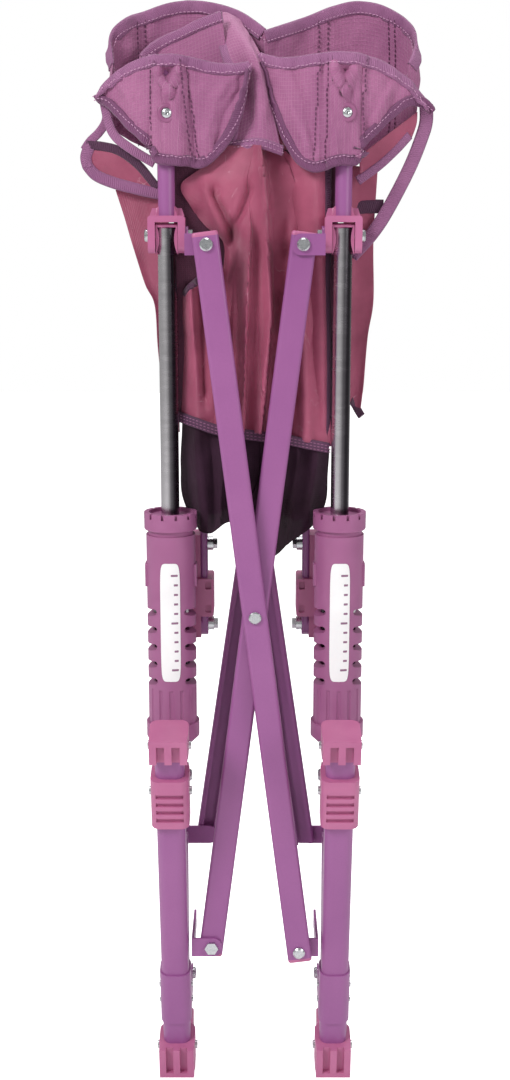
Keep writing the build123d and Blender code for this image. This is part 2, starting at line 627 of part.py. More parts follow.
# Pistons: rod, its end plug, housing, cap nut and return spring
spring_top_z = rod_top_z - rod_length
bore_floor_z = foot_collar_z + foot_collar_height - 4.0
for name, side in sides:
    x = side * side_x
    with BuildPart() as rod:
        with BuildSketch(Plane.XY.offset(spring_top_z)):
            with Locations((x, piston_y)):
                Circle(rod_radius)
        extrude(amount=rod_length)
        chamfer(rod.edges().group_by(Axis.Z)[-1], 0.8)
        with BuildSketch(Plane.XY.offset(spring_top_z)):
            with Locations((x, piston_y)):
                Circle(housing_bore - slide_fit)
        extrude(amount=9.0)
        with BuildSketch(x_axis(x - 20, piston_y, clevis_bolt_z)):
            Circle(bolt_radius + bolt_fit)
        extrude(amount=40, mode=Mode.SUBTRACT)
    save(rod.part, f"piston_rod_{name}")

    with BuildPart() as rod_plug:
        with BuildSketch(y_axis(x, piston_y + plug_depth / 2, 0)):
            with BuildLine():
                top = rod_top_z + plug_skin
                half = plug_width / 2
                foot = clevis_bolt_z - 15.0
                Polyline((0, top), (half, top), (half, foot))
                ThreePointArc((half, foot), (half - 2.6, clevis_bolt_z - 6), (half - 1.2, rod_top_z))
                Line((half - 1.2, rod_top_z), (0, rod_top_z))
                Line((0, rod_top_z), (0, top))
            make_face()
            mirror(about=Plane.YZ)
        extrude(amount=plug_depth)
        # Rounded about the bolt, so that the plug turns under the clevis bar
        with BuildSketch(x_axis(x - 20, piston_y, clevis_bolt_z)):
            with Locations((0, plug_reach)):
                Rectangle(4 * plug_reach, 2 * plug_reach)
            Circle(plug_reach, mode=Mode.SUBTRACT)
        extrude(amount=40, mode=Mode.SUBTRACT)
        with BuildSketch(Plane.XY.offset(foot - 10)):
            with Locations((x, piston_y)):
                Circle(rod_radius)
        extrude(amount=rod_top_z - foot + 10, mode=Mode.SUBTRACT)
        with BuildSketch(x_axis(x - 20, piston_y, clevis_bolt_z)):
            Circle(bolt_radius + bolt_fit)
        extrude(amount=40, mode=Mode.SUBTRACT)
    save(rod_plug.part, f"rod_plug_{name}")

    with BuildPart() as housing:
        centre = Locations((x, piston_y))
        with BuildSketch(Plane.XY.offset(foot_collar_z)):
            with centre:
                Circle(foot_collar_radius)
        extrude(amount=foot_collar_height)
        chamfer(housing.edges().group_by(Axis.Z)[0], 5.0)
        flute_low = foot_collar_z + foot_collar_height
        with BuildSketch(Plane.XY.offset(flute_low)):
            with centre:
                Circle(housing_radius)
        extrude(amount=housing_top_z - groove_height - flute_low)
        flute_radius = 2.0
        with BuildSketch(Plane.XY.offset(flute_low)):
            with Locations((x, piston_y)):
                with PolarLocations(housing_radius + 0.9, 14, start_angle=-90):
                    Circle(flute_radius)
        extrude(amount=flute_height, mode=Mode.SUBTRACT)
        with BuildSketch(Plane.XY.offset(housing_top_z - groove_height)):
            with centre:
                Circle(housing_radius - 1.6)
        extrude(amount=groove_height)
        tab_z = window_first_z + window_count * window_pitch + 16.0
        for flank in (-1, 1):
            with BuildSketch(x_axis(x + flank * (housing_radius - 1.5), piston_y, tab_z)):
                RectangleRounded(14.0, 20.0, 2.0)
            extrude(amount=flank * 2.5)
        for flank in (-1, 1):
            for step in range(window_count):
                window_z = window_first_z + step * window_pitch
                with BuildSketch(y_axis(x, piston_y + housing_radius + 1, window_z)):
                    with Locations((flank * (housing_radius - 6.5), 1.2)):
                        Circle(2.7)
                    with BuildLine():
                        Polyline(
                            (flank * (housing_radius - 8.0), -1.0),
                            (flank * (housing_radius - 5.0), 3.4),
                            (flank * (housing_radius + 2.0), 2.2),
                            (flank * (housing_radius + 2.0), -5.2),
                            close=True)
                    make_face()
                extrude(amount=2 * housing_radius + 2, mode=Mode.SUBTRACT)
        with BuildSketch(Plane.XY.offset(piston_foot_z)):
            with centre:
                Rectangle(17.0, 20.0)
        extrude(amount=foot_collar_z - piston_foot_z)
        with BuildSketch(x_axis(x - 8.5, piston_y, piston_foot_z)):
            Circle(10.0)
        extrude(amount=17.0)
        with BuildSketch(x_axis(x - 20, piston_y, piston_foot_z)):
            Circle(bolt_radius + bolt_fit)
        extrude(amount=40.0, mode=Mode.SUBTRACT)
        with BuildSketch(Plane.XY.offset(bore_floor_z)):
            with centre:
                Circle(housing_bore)
        extrude(amount=housing_top_z - bore_floor_z, mode=Mode.SUBTRACT)
    save(housing.part, f"piston_housing_{name}")

    with BuildPart() as cap:
        with BuildSketch(Plane.XY.offset(housing_top_z)):
            with centre:
                Circle(cap_radius)
        extrude(amount=cap_height)
        fillet(cap.edges().group_by(Axis.Z)[0], 1.5)
        with BuildSketch(Plane.XY.offset(cap_top_z - 3.0)):
            with centre:
                Circle(cap_radius - 4.0)
        extrude(amount=3.0, mode=Mode.SUBTRACT)
        with BuildSketch(Plane.XY.offset(cap_top_z - 4.5)):
            with Locations((x, piston_y)):
                with PolarLocations(cap_radius, 12, start_angle=15):
                    Rectangle(5.0, 2.4)
        extrude(amount=4.5, mode=Mode.SUBTRACT)
        with BuildSketch(Plane.XY.offset(housing_top_z)):
            with centre:
                Circle(rod_radius + slide_fit)
        extrude(amount=cap_height, mode=Mode.SUBTRACT)
    save(cap.part, f"piston_cap_{name}")

    spring_low = bore_floor_z + spring_wire
    spring_high = spring_top_z - spring_wire
    with BuildPart() as spring:
        with BuildLine():
            coil = Helix(pitch=(spring_high - spring_low) / spring_turns,
                         height=spring_high - spring_low, radius=housing_bore - 3.0,
                         center=(x, piston_y, spring_low))
        with BuildSketch(Plane(origin=coil @ 0, z_dir=coil % 0)):
            Circle(spring_wire)
        sweep()
    save(spring.part, f"piston_spring_{name}")


# Ground rails
foot_along = piston_foot_along()
foot_out = piston_foot_out()
rail_above = foot_along + rail_past_foot
collar_low = foot_along - collar_below_foot
tread_out = -(rail_depth / 2 + end_cap_wall + tread_height)
for name, side in sides:
    with BuildPart() as rail:
        with BuildSketch(rail_plane(side, -rail_below)):
            RectangleRounded(rail_width, rail_depth, rail_corner)
        extrude(amount=rail_below + rail_above)
        with BuildSketch(rail_plane(side, -rail_below)):
            RectangleRounded(rail_width - 2 * rail_wall, rail_depth - 2 * rail_wall,
                             rail_corner - rail_wall)
        extrude(amount=rail_below + rail_above, mode=Mode.SUBTRACT)
    save(rail.part, f"rail_{name}")

    # End caps with cleats on the side that meets the ground
    with BuildPart() as end_caps:
        for end, direction, length in ((-rail_below, -1, end_cap_length), (rail_above, 1, upper_cap_length)):
            outer_end = end + direction * rail_end_skin
            inner_end = end - direction * (length - rail_end_skin)
            low, high = sorted((outer_end, inner_end))
            with BuildSketch(rail_plane(side, low, -tread_height / 4)):
                RectangleRounded(rail_width + 2 * end_cap_wall,
                                 rail_depth + 2 * end_cap_wall, rail_corner)
            extrude(amount=high - low)
            with BuildSketch(rail_plane(side, low, tread_out + tread_height / 2 + 2.0)):
                with GridLocations(12.6, 1, 3, 1):
                    Rectangle(6.0, tread_height + 5.5)
            extrude(amount=high - low)
            with BuildSketch(rail_plane(side, outer_end, tread_out + tread_height / 2 + 2.0)):
                Rectangle(rail_width + 2 * end_cap_wall - 2, tread_height + 5.5)
            extrude(amount=-direction * 5.0)
            with BuildSketch(rail_plane(side, min(end, inner_end))):
                RectangleRounded(rail_width, rail_depth, rail_corner)
            extrude(amount=length - rail_end_skin, mode=Mode.SUBTRACT)
    save(end_caps.part, f"rail_end_caps_{name}")

    # Ribbed collar that carries the piston's foot between two lugs
    with BuildPart() as rail_collar:
        collar_outer = rail_width + 2 * collar_wall
        with BuildSketch(rail_plane(side, collar_low, -1.0)):
            RectangleRounded(collar_outer, rail_depth + 2 * collar_wall, rail_corner)
        extrude(amount=collar_height)
        groove_pitch = collar_height / 6
        for step in range(4):
            with BuildSketch(rail_plane(side, collar_low + (step + 0.85) * groove_pitch,
                                        -(rail_depth / 2 + collar_wall + 1.0))):
                Rectangle(collar_outer - 9.0, 5.0)
            extrude(amount=groove_pitch * 0.5, mode=Mode.SUBTRACT)
        lug_in = 17.0 / 2 + 0.35
        for lug in (-1, 1):
            lug_x = side * side_x + (lug * lug_in if lug > 0 else -lug_in - lug_thickness)
            behind = rail_plane(side, foot_along, foot_out)
            base = Plane(origin=(lug_x, behind.origin.Y, behind.origin.Z),
                         x_dir=behind.y_dir, z_dir=(1, 0, 0))
            with BuildSketch(base):
                Circle(lug_radius)
                with Locations((-(foot_out - rail_depth / 2) / 2, 0)):
                    Rectangle(foot_out - rail_depth / 2, 2 * lug_radius)
            extrude(amount=lug_thickness)
        with BuildSketch(rail_plane(side, 0)):
            RectangleRounded(rail_width, rail_depth, rail_corner)
        extrude(amount=rail_above, mode=Mode.SUBTRACT)
        with BuildSketch(x_axis(side * side_x - 30, piston_y, piston_foot_z)):
            Circle(bolt_radius)
        extrude(amount=60, mode=Mode.SUBTRACT)
    save(rail_collar.part, f"rail_collar_{name}")

    # Steel sleeve whose cheeks reach back to the long bar's pivot
    with BuildPart() as sleeve:
        with BuildSketch(rail_plane(side, sleeve_low)):
            RectangleRounded(rail_width + 2 * sleeve_wall, rail_depth + 2 * sleeve_wall,
                             rail_corner + sleeve_wall)
        extrude(amount=sleeve_height)
        back = Plane(origin=(side * side_x, rail_pivot_y, rail_pivot_z),
                     x_dir=rail_plane(side, 0).y_dir, z_dir=(1, 0, 0))
        for cheek in (-1, 1):
            cheek_x = cheek * (rail_width / 2) + (0 if cheek > 0 else -sleeve_wall)
            with BuildSketch(back.offset(cheek_x)):
                Circle(8.5)
                with Locations((-rail_pivot_offset / 2, -4.0)):
                    Rectangle(rail_pivot_offset, 25.0)
            extrude(amount=sleeve_wall)
        with BuildSketch(rail_plane(side, -rail_below)):
            RectangleRounded(rail_width, rail_depth, rail_corner)
        extrude(amount=rail_below + rail_above, mode=Mode.SUBTRACT)
        with BuildSketch(x_axis(side * side_x - 30, rail_pivot_y, rail_pivot_z)):
            Circle(bolt_radius)
        extrude(amount=60, mode=Mode.SUBTRACT)
    save(sleeve.part, f"rail_sleeve_{name}")

    # Bolts of the rail: long-bar pivot, piston foot, collar and cap screws
    cheek_face = rail_width / 2 + sleeve_wall
    lug_face = lug_in + lug_thickness
    collar_face = collar_outer / 2
    cap_face = rail_width / 2 + end_cap_wall
    with BuildPart() as rail_bolts:
        add(x_bolt(side * side_x - cheek_face, side * side_x + cheek_face, rail_pivot_y, rail_pivot_z))
        # The foot's bolt is two short pins in the lugs, so the foot can lift out as the chair unfolds.
        for lug in (-1, 1):
            add(x_bolt(*sorted((side * side_x + lug * lug_in, side * side_x + lug * lug_face)),
                       piston_y, piston_foot_z, head_at_low=lug < 0, head_at_high=lug > 0))
        for along, face in (
                (collar_low + collar_height * 0.6, collar_face),
                (rail_above - upper_cap_length / 2, cap_face),
                (end_cap_length / 2 - rail_below, cap_face)):
            spot = rail_plane(side, along).origin
            for end in (-1, 1):
                with BuildSketch(x_axis(side * side_x + end * face, spot.Y, spot.Z)):
                    Circle(3.6)
                extrude(amount=end * 2.0)
        for along in (12.5, -4.5):
            spot = rail_plane(side, along, 2.0).origin
            for end in (-1, 1):
                with BuildSketch(x_axis(side * side_x + end * cheek_face, spot.Y, spot.Z)):
                    Circle(2.6)
                extrude(amount=end * 1.4)
    save(rail_bolts.part, f"rail_bolts_{name}")


# Seat sling, folded: a bundle between the bars, and two open cups of cloth round the poles
with BuildPart() as sling:
    with BuildSketch(Plane.XZ.offset(-wing_front_y - wing_depth)):
        with BuildLine():
            Polyline(
                (0, wing_valley_z),
                (wing_crest_x, wing_crest_z),
                (wing_shoulder_x, wing_shoulder_z),
                (wing_half_x, wing_tip_z),
                (wing_root_x, wing_bottom_z),
                (0, wing_bottom_z),
                close=True,
            )
        make_face()
        mirror(about=Plane.YZ)
    extrude(amount=wing_depth)
    fillet(sling.faces().group_by(Axis.Y)[0].edges(), wing_corner / 2)
    fillet(sling.faces().group_by(Axis.Y)[-1].edges(), wing_corner / 2)
    with BuildSketch(Plane.XY.offset(sling_bottom_z)):
        with Locations((0, sling_front_y + sling_depth / 2)):
            RectangleRounded(2 * sling_half_x, sling_depth, sling_corner)
    extrude(amount=bundle_top_z - sling_bottom_z)
    fillet(sling.edges().group_by(Axis.Z)[0], sling_corner * 0.8)
    cup_length = cup_far_x - cup_near_x
    with BuildSketch(Plane.XY.offset(cup_floor_z)):
        for side in (-1, 1):
            with Locations((side * (cup_near_x + cup_far_x) / 2, wing_front_y + wing_depth / 2)):
                RectangleRounded(cup_length, wing_depth - 2 * cup_wall, wing_corner)
    extrude(amount=wing_crest_z - cup_floor_z, mode=Mode.SUBTRACT)
    lip_length = wing_half_x - cup_near_x
    with BuildSketch(Plane.XY.offset(cup_lip_z)):
        for side in (-1, 1):
            with Locations((side * (cup_near_x + lip_length / 2), wing_front_y + cup_wall)):
                Rectangle(lip_length, 2 * cup_wall + 2)
    extrude(amount=wing_crest_z - cup_lip_z, mode=Mode.SUBTRACT)
save(sling.part, "seat_sling")
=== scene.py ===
import json
import bpy
import bmesh
from math import sin, cos, pi, hypot, radians
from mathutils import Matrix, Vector, noise


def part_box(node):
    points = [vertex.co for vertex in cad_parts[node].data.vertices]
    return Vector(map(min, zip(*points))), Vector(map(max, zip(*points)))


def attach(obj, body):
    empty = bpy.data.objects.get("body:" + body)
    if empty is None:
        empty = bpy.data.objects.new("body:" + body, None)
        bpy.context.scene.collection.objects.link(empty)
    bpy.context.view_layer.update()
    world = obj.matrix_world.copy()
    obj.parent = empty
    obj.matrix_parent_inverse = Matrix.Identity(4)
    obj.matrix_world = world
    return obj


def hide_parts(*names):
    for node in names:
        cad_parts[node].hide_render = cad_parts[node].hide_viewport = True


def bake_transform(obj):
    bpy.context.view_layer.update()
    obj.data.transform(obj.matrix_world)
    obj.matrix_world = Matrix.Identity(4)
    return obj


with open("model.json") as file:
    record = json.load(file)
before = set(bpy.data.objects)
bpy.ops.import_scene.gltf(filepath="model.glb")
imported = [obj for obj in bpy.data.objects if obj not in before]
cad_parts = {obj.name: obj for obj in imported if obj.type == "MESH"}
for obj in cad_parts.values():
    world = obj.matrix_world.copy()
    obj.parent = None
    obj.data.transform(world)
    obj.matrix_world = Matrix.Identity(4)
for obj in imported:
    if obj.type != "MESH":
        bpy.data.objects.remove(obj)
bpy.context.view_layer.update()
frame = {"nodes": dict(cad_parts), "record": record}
nodes = frame["nodes"]
mm = 0.001

camera = {
    "height": 740.6,            # mm above the floor
    "back": 1143.0,             # mm in front of the chair
    "pitch": 12.0,              # degrees down
    "focal": 1382.0,            # picture units
    "middle": (255.5, 540.0),   # picture units, from the top left corner
    "pictureHeight": 1080.0,    # picture units
    "sensor": 24.0,             # mm
    "nearest": 10.0,            # mm
}


def seen(x, y, depth):
    # the point that the camera sees at picture units x, y, when it lies at Y = depth mm
    middleX, middleY = camera["middle"]
    v = (y - middleY) / camera["focal"]
    tilt = radians(camera["pitch"])
    reach = (camera["back"] + depth) / (cos(tilt) - v * sin(tilt))
    across = reach * (x - middleX) / camera["focal"]
    height = camera["height"] + reach * (-sin(tilt) - v * cos(tilt))
    return Vector((across * mm, depth * mm, height * mm))


def putInScene(name, data):
    piece = bpy.data.objects.new(name, data)
    bpy.context.scene.collection.objects.link(piece)
    return piece


def makeCamera():
    data = bpy.data.cameras.new("camera")
    data.sensor_fit = "VERTICAL"
    data.sensor_height = camera["sensor"]
    data.lens = camera["sensor"] * camera["focal"] / camera["pictureHeight"]
    data.clip_start = camera["nearest"] * mm
    eye = putInScene("camera", data)
    eye.location = (0, -camera["back"] * mm, camera["height"] * mm)
    eye.rotation_euler = (radians(90 - camera["pitch"]), 0, 0)
    bpy.context.scene.camera = eye


makeCamera()
print("camera placed")


def linear(hexCode):
    # an sRGB hex value as a linear colour
    parts = [int(hexCode[i:i + 2], 16) / 255 for i in (1, 3, 5)]
    return tuple(c / 12.92 if c <= 0.04045 else ((c + 0.055) / 1.055) ** 2.4 for c in parts) + (1.0,)


def perMetre(size):
    # a pattern's scale, from the size in mm of one of its repeats
    return 1.0 / (size * mm)


def addNode(mat, kind, settings=None, **links):
    # settings: an input's name or number, a property, or stops for a ramp, each a place and a colour or grey
    # links: an input's name with _ for each space, or n and its number
    node = mat.node_tree.nodes.new(kind)
    for key, value in (settings or {}).items():
        if key == "stops":
            elements = node.color_ramp.elements
            while len(elements) < len(value):
                elements.new(0.5)
            for element, (place, colour) in zip(elements, value):
                element.position = place
                element.color = (colour, colour, colour, 1) if isinstance(colour, float) else colour
        elif key in node.inputs.keys():
            node.inputs[key].default_value = value
        elif key.isdigit():
            node.inputs[int(key)].default_value = value
        else:
            setattr(node, key, value)
    for key, source in links.items():
        numbered = key[0] == "n" and key[1:].isdigit()
        target = node.inputs[int(key[1:]) if numbered else key.replace("_", " ")]
        mat.node_tree.links.new(source, target)
    return node


def newMaterial(name):
    mat = bpy.data.materials.new(name)
    mat.use_nodes = True
    mat.node_tree.nodes.clear()
    return mat


powderCoat = {
    "dark": "#9A5794", "light": "#A8649F",
    "cloud": 111.1,             # mm between changes of tone
    "peel": 1.111,              # mm between the bumps of its orange peel
    "fleck": 0.12,              # how much the peel tints it
    "roughness": (0.36, 0.44),
    "bump": (0.05, 0.2),        # strength, mm
    "clear": (0.15, 0.25),      # weight and roughness of the clear layer
}


def paintedSteel():
    # powder-coated steel: satin, a little cloudy, with slight orange peel
    mat = newMaterial("powderCoatedSteel")
    place = addNode(mat, "ShaderNodeTexCoord").outputs["Object"]
    cloud = addNode(mat, "ShaderNodeTexNoise", {"Scale": perMetre(powderCoat["cloud"]), "Detail": 3.0},
                    Vector=place).outputs[0]
    peel = addNode(mat, "ShaderNodeTexNoise", {"Scale": perMetre(powderCoat["peel"]), "Detail": 2.0},
                   Vector=place).outputs[0]
    tones = [(0.3, linear(powderCoat["dark"])), (0.7, linear(powderCoat["light"]))]
    colour = addNode(mat, "ShaderNodeValToRGB", {"stops": tones}, n0=cloud)
    flecked = addNode(mat, "ShaderNodeMix", {"data_type": "RGBA", "blend_type": "MULTIPLY",
                                             "0": powderCoat["fleck"]}, n6=colour.outputs[0], n7=peel)
    smooth, rough = powderCoat["roughness"]
    dullness = addNode(mat, "ShaderNodeValToRGB", {"stops": [(0.3, smooth), (0.7, rough)]}, n0=cloud)
    strength, deep = powderCoat["bump"]
    bump = addNode(mat, "ShaderNodeBump", {"Strength": strength, "Distance": deep * mm}, Height=peel)
    weight, gloss = powderCoat["clear"]
    shader = addNode(mat, "ShaderNodeBsdfPrincipled", {
        "IOR": 1.5, "Coat Weight": weight, "Coat Roughness": gloss},
        Base_Color=flecked.outputs[2], Roughness=dullness.outputs[0], Normal=bump.outputs[0])
    addNode(mat, "ShaderNodeOutputMaterial", Surface=shader.outputs[0])
    return mat


nylon = {
    "flow": 45.45,              # mm between flow marks
    "grain": 0.6667,            # mm between the bumps of its grain
    "duller": 0.08,             # roughness that a flow mark adds
    "bump": (0.08, 0.2),        # strength, mm
    "glow": 0.04,               # light that goes through it
    "glowDepth": (4.0, 2.0, 2.0),    # mm for red, green and blue
}


def mouldedPlastic(name, dark, light, rough):
    # moulded nylon: faint flow marks, fine satin grain
    mat = newMaterial(name)
    place = addNode(mat, "ShaderNodeTexCoord").outputs["Object"]
    flow = addNode(mat, "ShaderNodeTexNoise", {"Scale": perMetre(nylon["flow"]), "Detail": 4.0,
                                               "Distortion": 0.6}, Vector=place).outputs[0]
    grain = addNode(mat, "ShaderNodeTexNoise", {"Scale": perMetre(nylon["grain"]), "Detail": 2.0},
                    Vector=place).outputs[0]
    tones = [(0.3, linear(dark)), (0.7, linear(light))]
    colour = addNode(mat, "ShaderNodeValToRGB", {"stops": tones}, n0=flow)
    dullness = addNode(mat, "ShaderNodeValToRGB", {"stops": [(0.3, rough), (0.75, rough + nylon["duller"])]},
                       n0=flow)
    strength, deep = nylon["bump"]
    bump = addNode(mat, "ShaderNodeBump", {"Strength": strength, "Distance": deep * mm}, Height=grain)
    shader = addNode(mat, "ShaderNodeBsdfPrincipled", {
        "IOR": 1.5, "Subsurface Weight": nylon["glow"],
        "Subsurface Radius": [reach * mm for reach in nylon["glowDepth"]]},
        Base_Color=colour.outputs[0], Roughness=dullness.outputs[0], Normal=bump.outputs[0])
    addNode(mat, "ShaderNodeOutputMaterial", Surface=shader.outputs[0])
    return mat


chrome = {
    # tones of the painted reflection bands along the rods
    "paintedReflectionShades": [(0.05, "#3A363B"), (0.55, "#7C787D"), (0.95, "#DAD7DA")],
    "rings": 33.33,             # mm between rings, before they are squeezed along the rod
    "squeeze": 6.0,
    "pitches": 8,               # a whole number of bands from rod to rod, so that both look alike
    "slant": 0.7,               # share by which the bands turn with depth
    "phase": 3.0,               # radians
    "roughness": (0.2, 0.32),
    "bump": (0.02, 0.1),        # strength, mm
}


def polishedRod():
    # ground and chromed rod: faint rings round it, and one bright and one dark band along it, painted in its
    # colour as a reflection
    mat = newMaterial("groundChromeRod")
    place = addNode(mat, "ShaderNodeTexCoord").outputs["Object"]
    stretch = addNode(mat, "ShaderNodeMapping", {"Scale": (1.0, 1.0, chrome["squeeze"])}, Vector=place)
    rings = addNode(mat, "ShaderNodeTexNoise", {"Scale": perMetre(chrome["rings"]), "Detail": 4.0},
                    Vector=stretch.outputs[0]).outputs[0]
    low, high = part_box("piston_rod_right")
    axis = (low + high) / 2
    turnX = 2 * pi / (2 * axis.x / chrome["pitches"])
    turnY = chrome["slant"] * turnX
    # painted reflection: bright and dark bands in the colour, set by the place across the rod
    split = addNode(mat, "ShaderNodeSeparateXYZ", Vector=place)
    across = addNode(mat, "ShaderNodeMath", {"operation": "MULTIPLY_ADD", "1": turnX,
                                             "2": chrome["phase"] - turnY * axis.y}, n0=split.outputs["X"])
    turn = addNode(mat, "ShaderNodeMath", {"operation": "MULTIPLY_ADD", "1": turnY},
                   n0=split.outputs["Y"], n2=across.outputs[0])
    wave = addNode(mat, "ShaderNodeMath", {"operation": "COSINE"}, n0=turn.outputs[0])
    share = addNode(mat, "ShaderNodeMath", {"operation": "MULTIPLY_ADD", "1": 0.5, "2": 0.5},
                    n0=wave.outputs[0])
    paintedReflectionShades = [(at, linear(shade)) for at, shade in chrome["paintedReflectionShades"]]
    colour = addNode(mat, "ShaderNodeValToRGB", {"stops": paintedReflectionShades}, n0=share.outputs[0])
    smooth, rough = chrome["roughness"]
    dullness = addNode(mat, "ShaderNodeValToRGB", {"stops": [(0.3, smooth), (0.75, rough)]}, n0=rings)
    strength, deep = chrome["bump"]
    bump = addNode(mat, "ShaderNodeBump", {"Strength": strength, "Distance": deep * mm}, Height=rings)
    shader = addNode(mat, "ShaderNodeBsdfPrincipled", {"Metallic": 1.0}, Base_Color=colour.outputs[0],
                     Roughness=dullness.outputs[0], Normal=bump.outputs[0])
    addNode(mat, "ShaderNodeOutputMaterial", Surface=shader.outputs[0])
    return mat


bareSteel = {
    "mottle": 2.0,              # mm between mottles
    "roughness": (0.24, 0.30),
}


def mottledSteel(name, dark, light):
    # zinc-plated or oiled steel: soft mottling, slightly dulled
    mat = newMaterial(name)
    place = addNode(mat, "ShaderNodeTexCoord").outputs["Object"]
    mottle = addNode(mat, "ShaderNodeTexNoise", {"Scale": perMetre(bareSteel["mottle"]), "Detail": 3.0},
                     Vector=place).outputs[0]
    tones = [(0.3, linear(dark)), (0.7, linear(light))]
    colour = addNode(mat, "ShaderNodeValToRGB", {"stops": tones}, n0=mottle)
    smooth, rough = bareSteel["roughness"]
    dullness = addNode(mat, "ShaderNodeValToRGB", {"stops": [(0.3, smooth), (0.75, rough)]}, n0=mottle)
    shader = addNode(mat, "ShaderNodeBsdfPrincipled", {"Metallic": 1.0}, Base_Color=colour.outputs[0],
                     Roughness=dullness.outputs[0])
    addNode(mat, "ShaderNodeOutputMaterial", Surface=shader.outputs[0])
    return mat


finish = {
    "purple_paint": paintedSteel(),
    "rose_plastic": mouldedPlastic("roseNylon", "#B86490", "#C5739C", 0.34),
    "mauve_plastic": mouldedPlastic("mauveNylon", "#9C5A86", "#A96692", 0.42),
    "polished_rod": polishedRod(),
    "zinc_steel": mottledSteel("zincPlatedSteel", "#C6C9CC", "#DADCDE"),
    "spring_steel": mottledSteel("oiledSpringSteel", "#4A4A4C", "#6A6A6D"),
}
print("hard materials made")

slotOf = {entry["node"]: entry["material_slot"] for entry in frame["record"]["subparts"]}
for nodeName, slotName in slotOf.items():
    if slotName in finish:
        paintName = "purple_paint" if "sleeve" in nodeName else slotName    # the rails' sleeves are painted
        nodes[nodeName].data.materials.clear()
        nodes[nodeName].data.materials.append(finish[paintName])
print("frame dressed")


def through(values, t):
    # smooth line through evenly numbered values, t from 0 to 1
    count = len(values) - 1
    place = min(max(t, 0.0), 1.0) * count
    i = min(int(place), count - 1)
    f = place - i
    a, b, c, d = (values[min(max(k, 0), count)] for k in (i - 1, i, i + 1, i + 2))
    return tuple(0.5 * (2 * q + (r - p) * f + (2 * p - 5 * q + 4 * r - s) * f * f
                        + (3 * q - p - 3 * r + s) * f ** 3)
                 for p, q, r, s in zip(a, b, c, d))


foldShape = {
    "fall": 2.72,               # how fast a fold dies away from its line
    "tail": 2.5,                # how far it runs on past its ends, in its own widths
    "bowl": 1.8,                # how deep the hollow beside a lap is
    "shelf": 0.7,               # how wide that hollow is
    "lip": 12.0,                # how sharply the laid-over edge drops
}


def lineAt(points, y):
    # where a fold's line is at one height, and how far past its ends that height lies
    for (x0, y0), (x1, y1) in zip(points, points[1:]):
        if y0 <= y <= y1:
            return x0 + (x1 - x0) * (y - y0) / (y1 - y0), 0.0
    x, end = points[0] if y < points[0][1] else points[-1]
    return x, abs(y - end)


def relief(x, y, folds):
    # mm of depth that folds give: a lap is an edge laid over, a ridge a soft swell, a dent a pressed spot
    # each fold is its kind, its line in picture units, its width in picture units and its height in mm
    fall = foldShape["fall"]
    depth = 0.0
    for kind, points, width, height in folds:
        if kind == "dent":
            reach = hypot(x - points[0][0], y - points[0][1]) / width
            depth += height * fall ** (-reach * reach)
            continue
        place, past = lineAt(points, y)
        fade = fall ** (-(past / (foldShape["tail"] * width)) ** 2)
        d = (x - place) / width
        if kind == "ridge":
            depth -= height * fall ** (-d * d) * fade
        elif d < 0:
            depth -= height * fall ** d * fade
        else:
            hollow = foldShape["bowl"] * fall ** (-d) * d + foldShape["shelf"] * fall ** (-d)
            edge = (1 + foldShape["shelf"]) * fall ** (-foldShape["lip"] * d)
            depth += height * (hollow - edge) * fade
    return depth


def columnSheet(columns, across, down, bulge=0.0, folds=()):
    # columns run left to right: x, top and bottom in picture units, then depth in mm at the top and bottom
    grid = []
    for i in range(across + 1):
        x, top, bottom, near, far = through(columns, i / across)
        line = []
        for j in range(down + 1):
            t = j / down
            depth = near + (far - near) * t - bulge * 4 * t * (1 - t)
            y = top + (bottom - top) * t
            line.append(seen(x, y, depth + relief(x, y, folds)))
        grid.append(line)
    return grid


def rowSheet(rows, across, down, folds=()):
    # rows run top to bottom, each a list of x and y in picture units and depth in mm
    fine = [[through(row, i / across) for i in range(across + 1)] for row in rows]
    grid = []
    for i in range(across + 1):
        spots = [through([row[i] for row in fine], j / down) for j in range(down + 1)]
        grid.append([seen(x, y, depth + relief(x, y, folds)) for x, y, depth in spots])
    return grid


def normals(grid):
    n, m = len(grid), len(grid[0])
    out = []
    for i in range(n):
        line = []
        for j in range(m):
            a = grid[min(i + 1, n - 1)][j] - grid[max(i - 1, 0)][j]
            b = grid[i][min(j + 1, m - 1)] - grid[i][max(j - 1, 0)]
            c = b.cross(a)
            line.append(c.normalized() if c.length > 1e-12 else Vector((0, -1, 0)))
        out.append(line)
    return out


def crumple(grid, amount, size, seed):
    # soft dents, amount mm deep and size mm wide, longer down the sheet than across it
    longer = 1.8
    away = normals(grid)
    for i, line in enumerate(grid):
        for j, p in enumerate(line):
            wide = size * mm
            q = Vector((p.x / wide + seed, p.y / wide, p.z / (longer * wide)))
            line[j] = p + away[i][j] * noise.fractal(q, 0.9, 2.0, 3) * (amount * mm)
    return grid


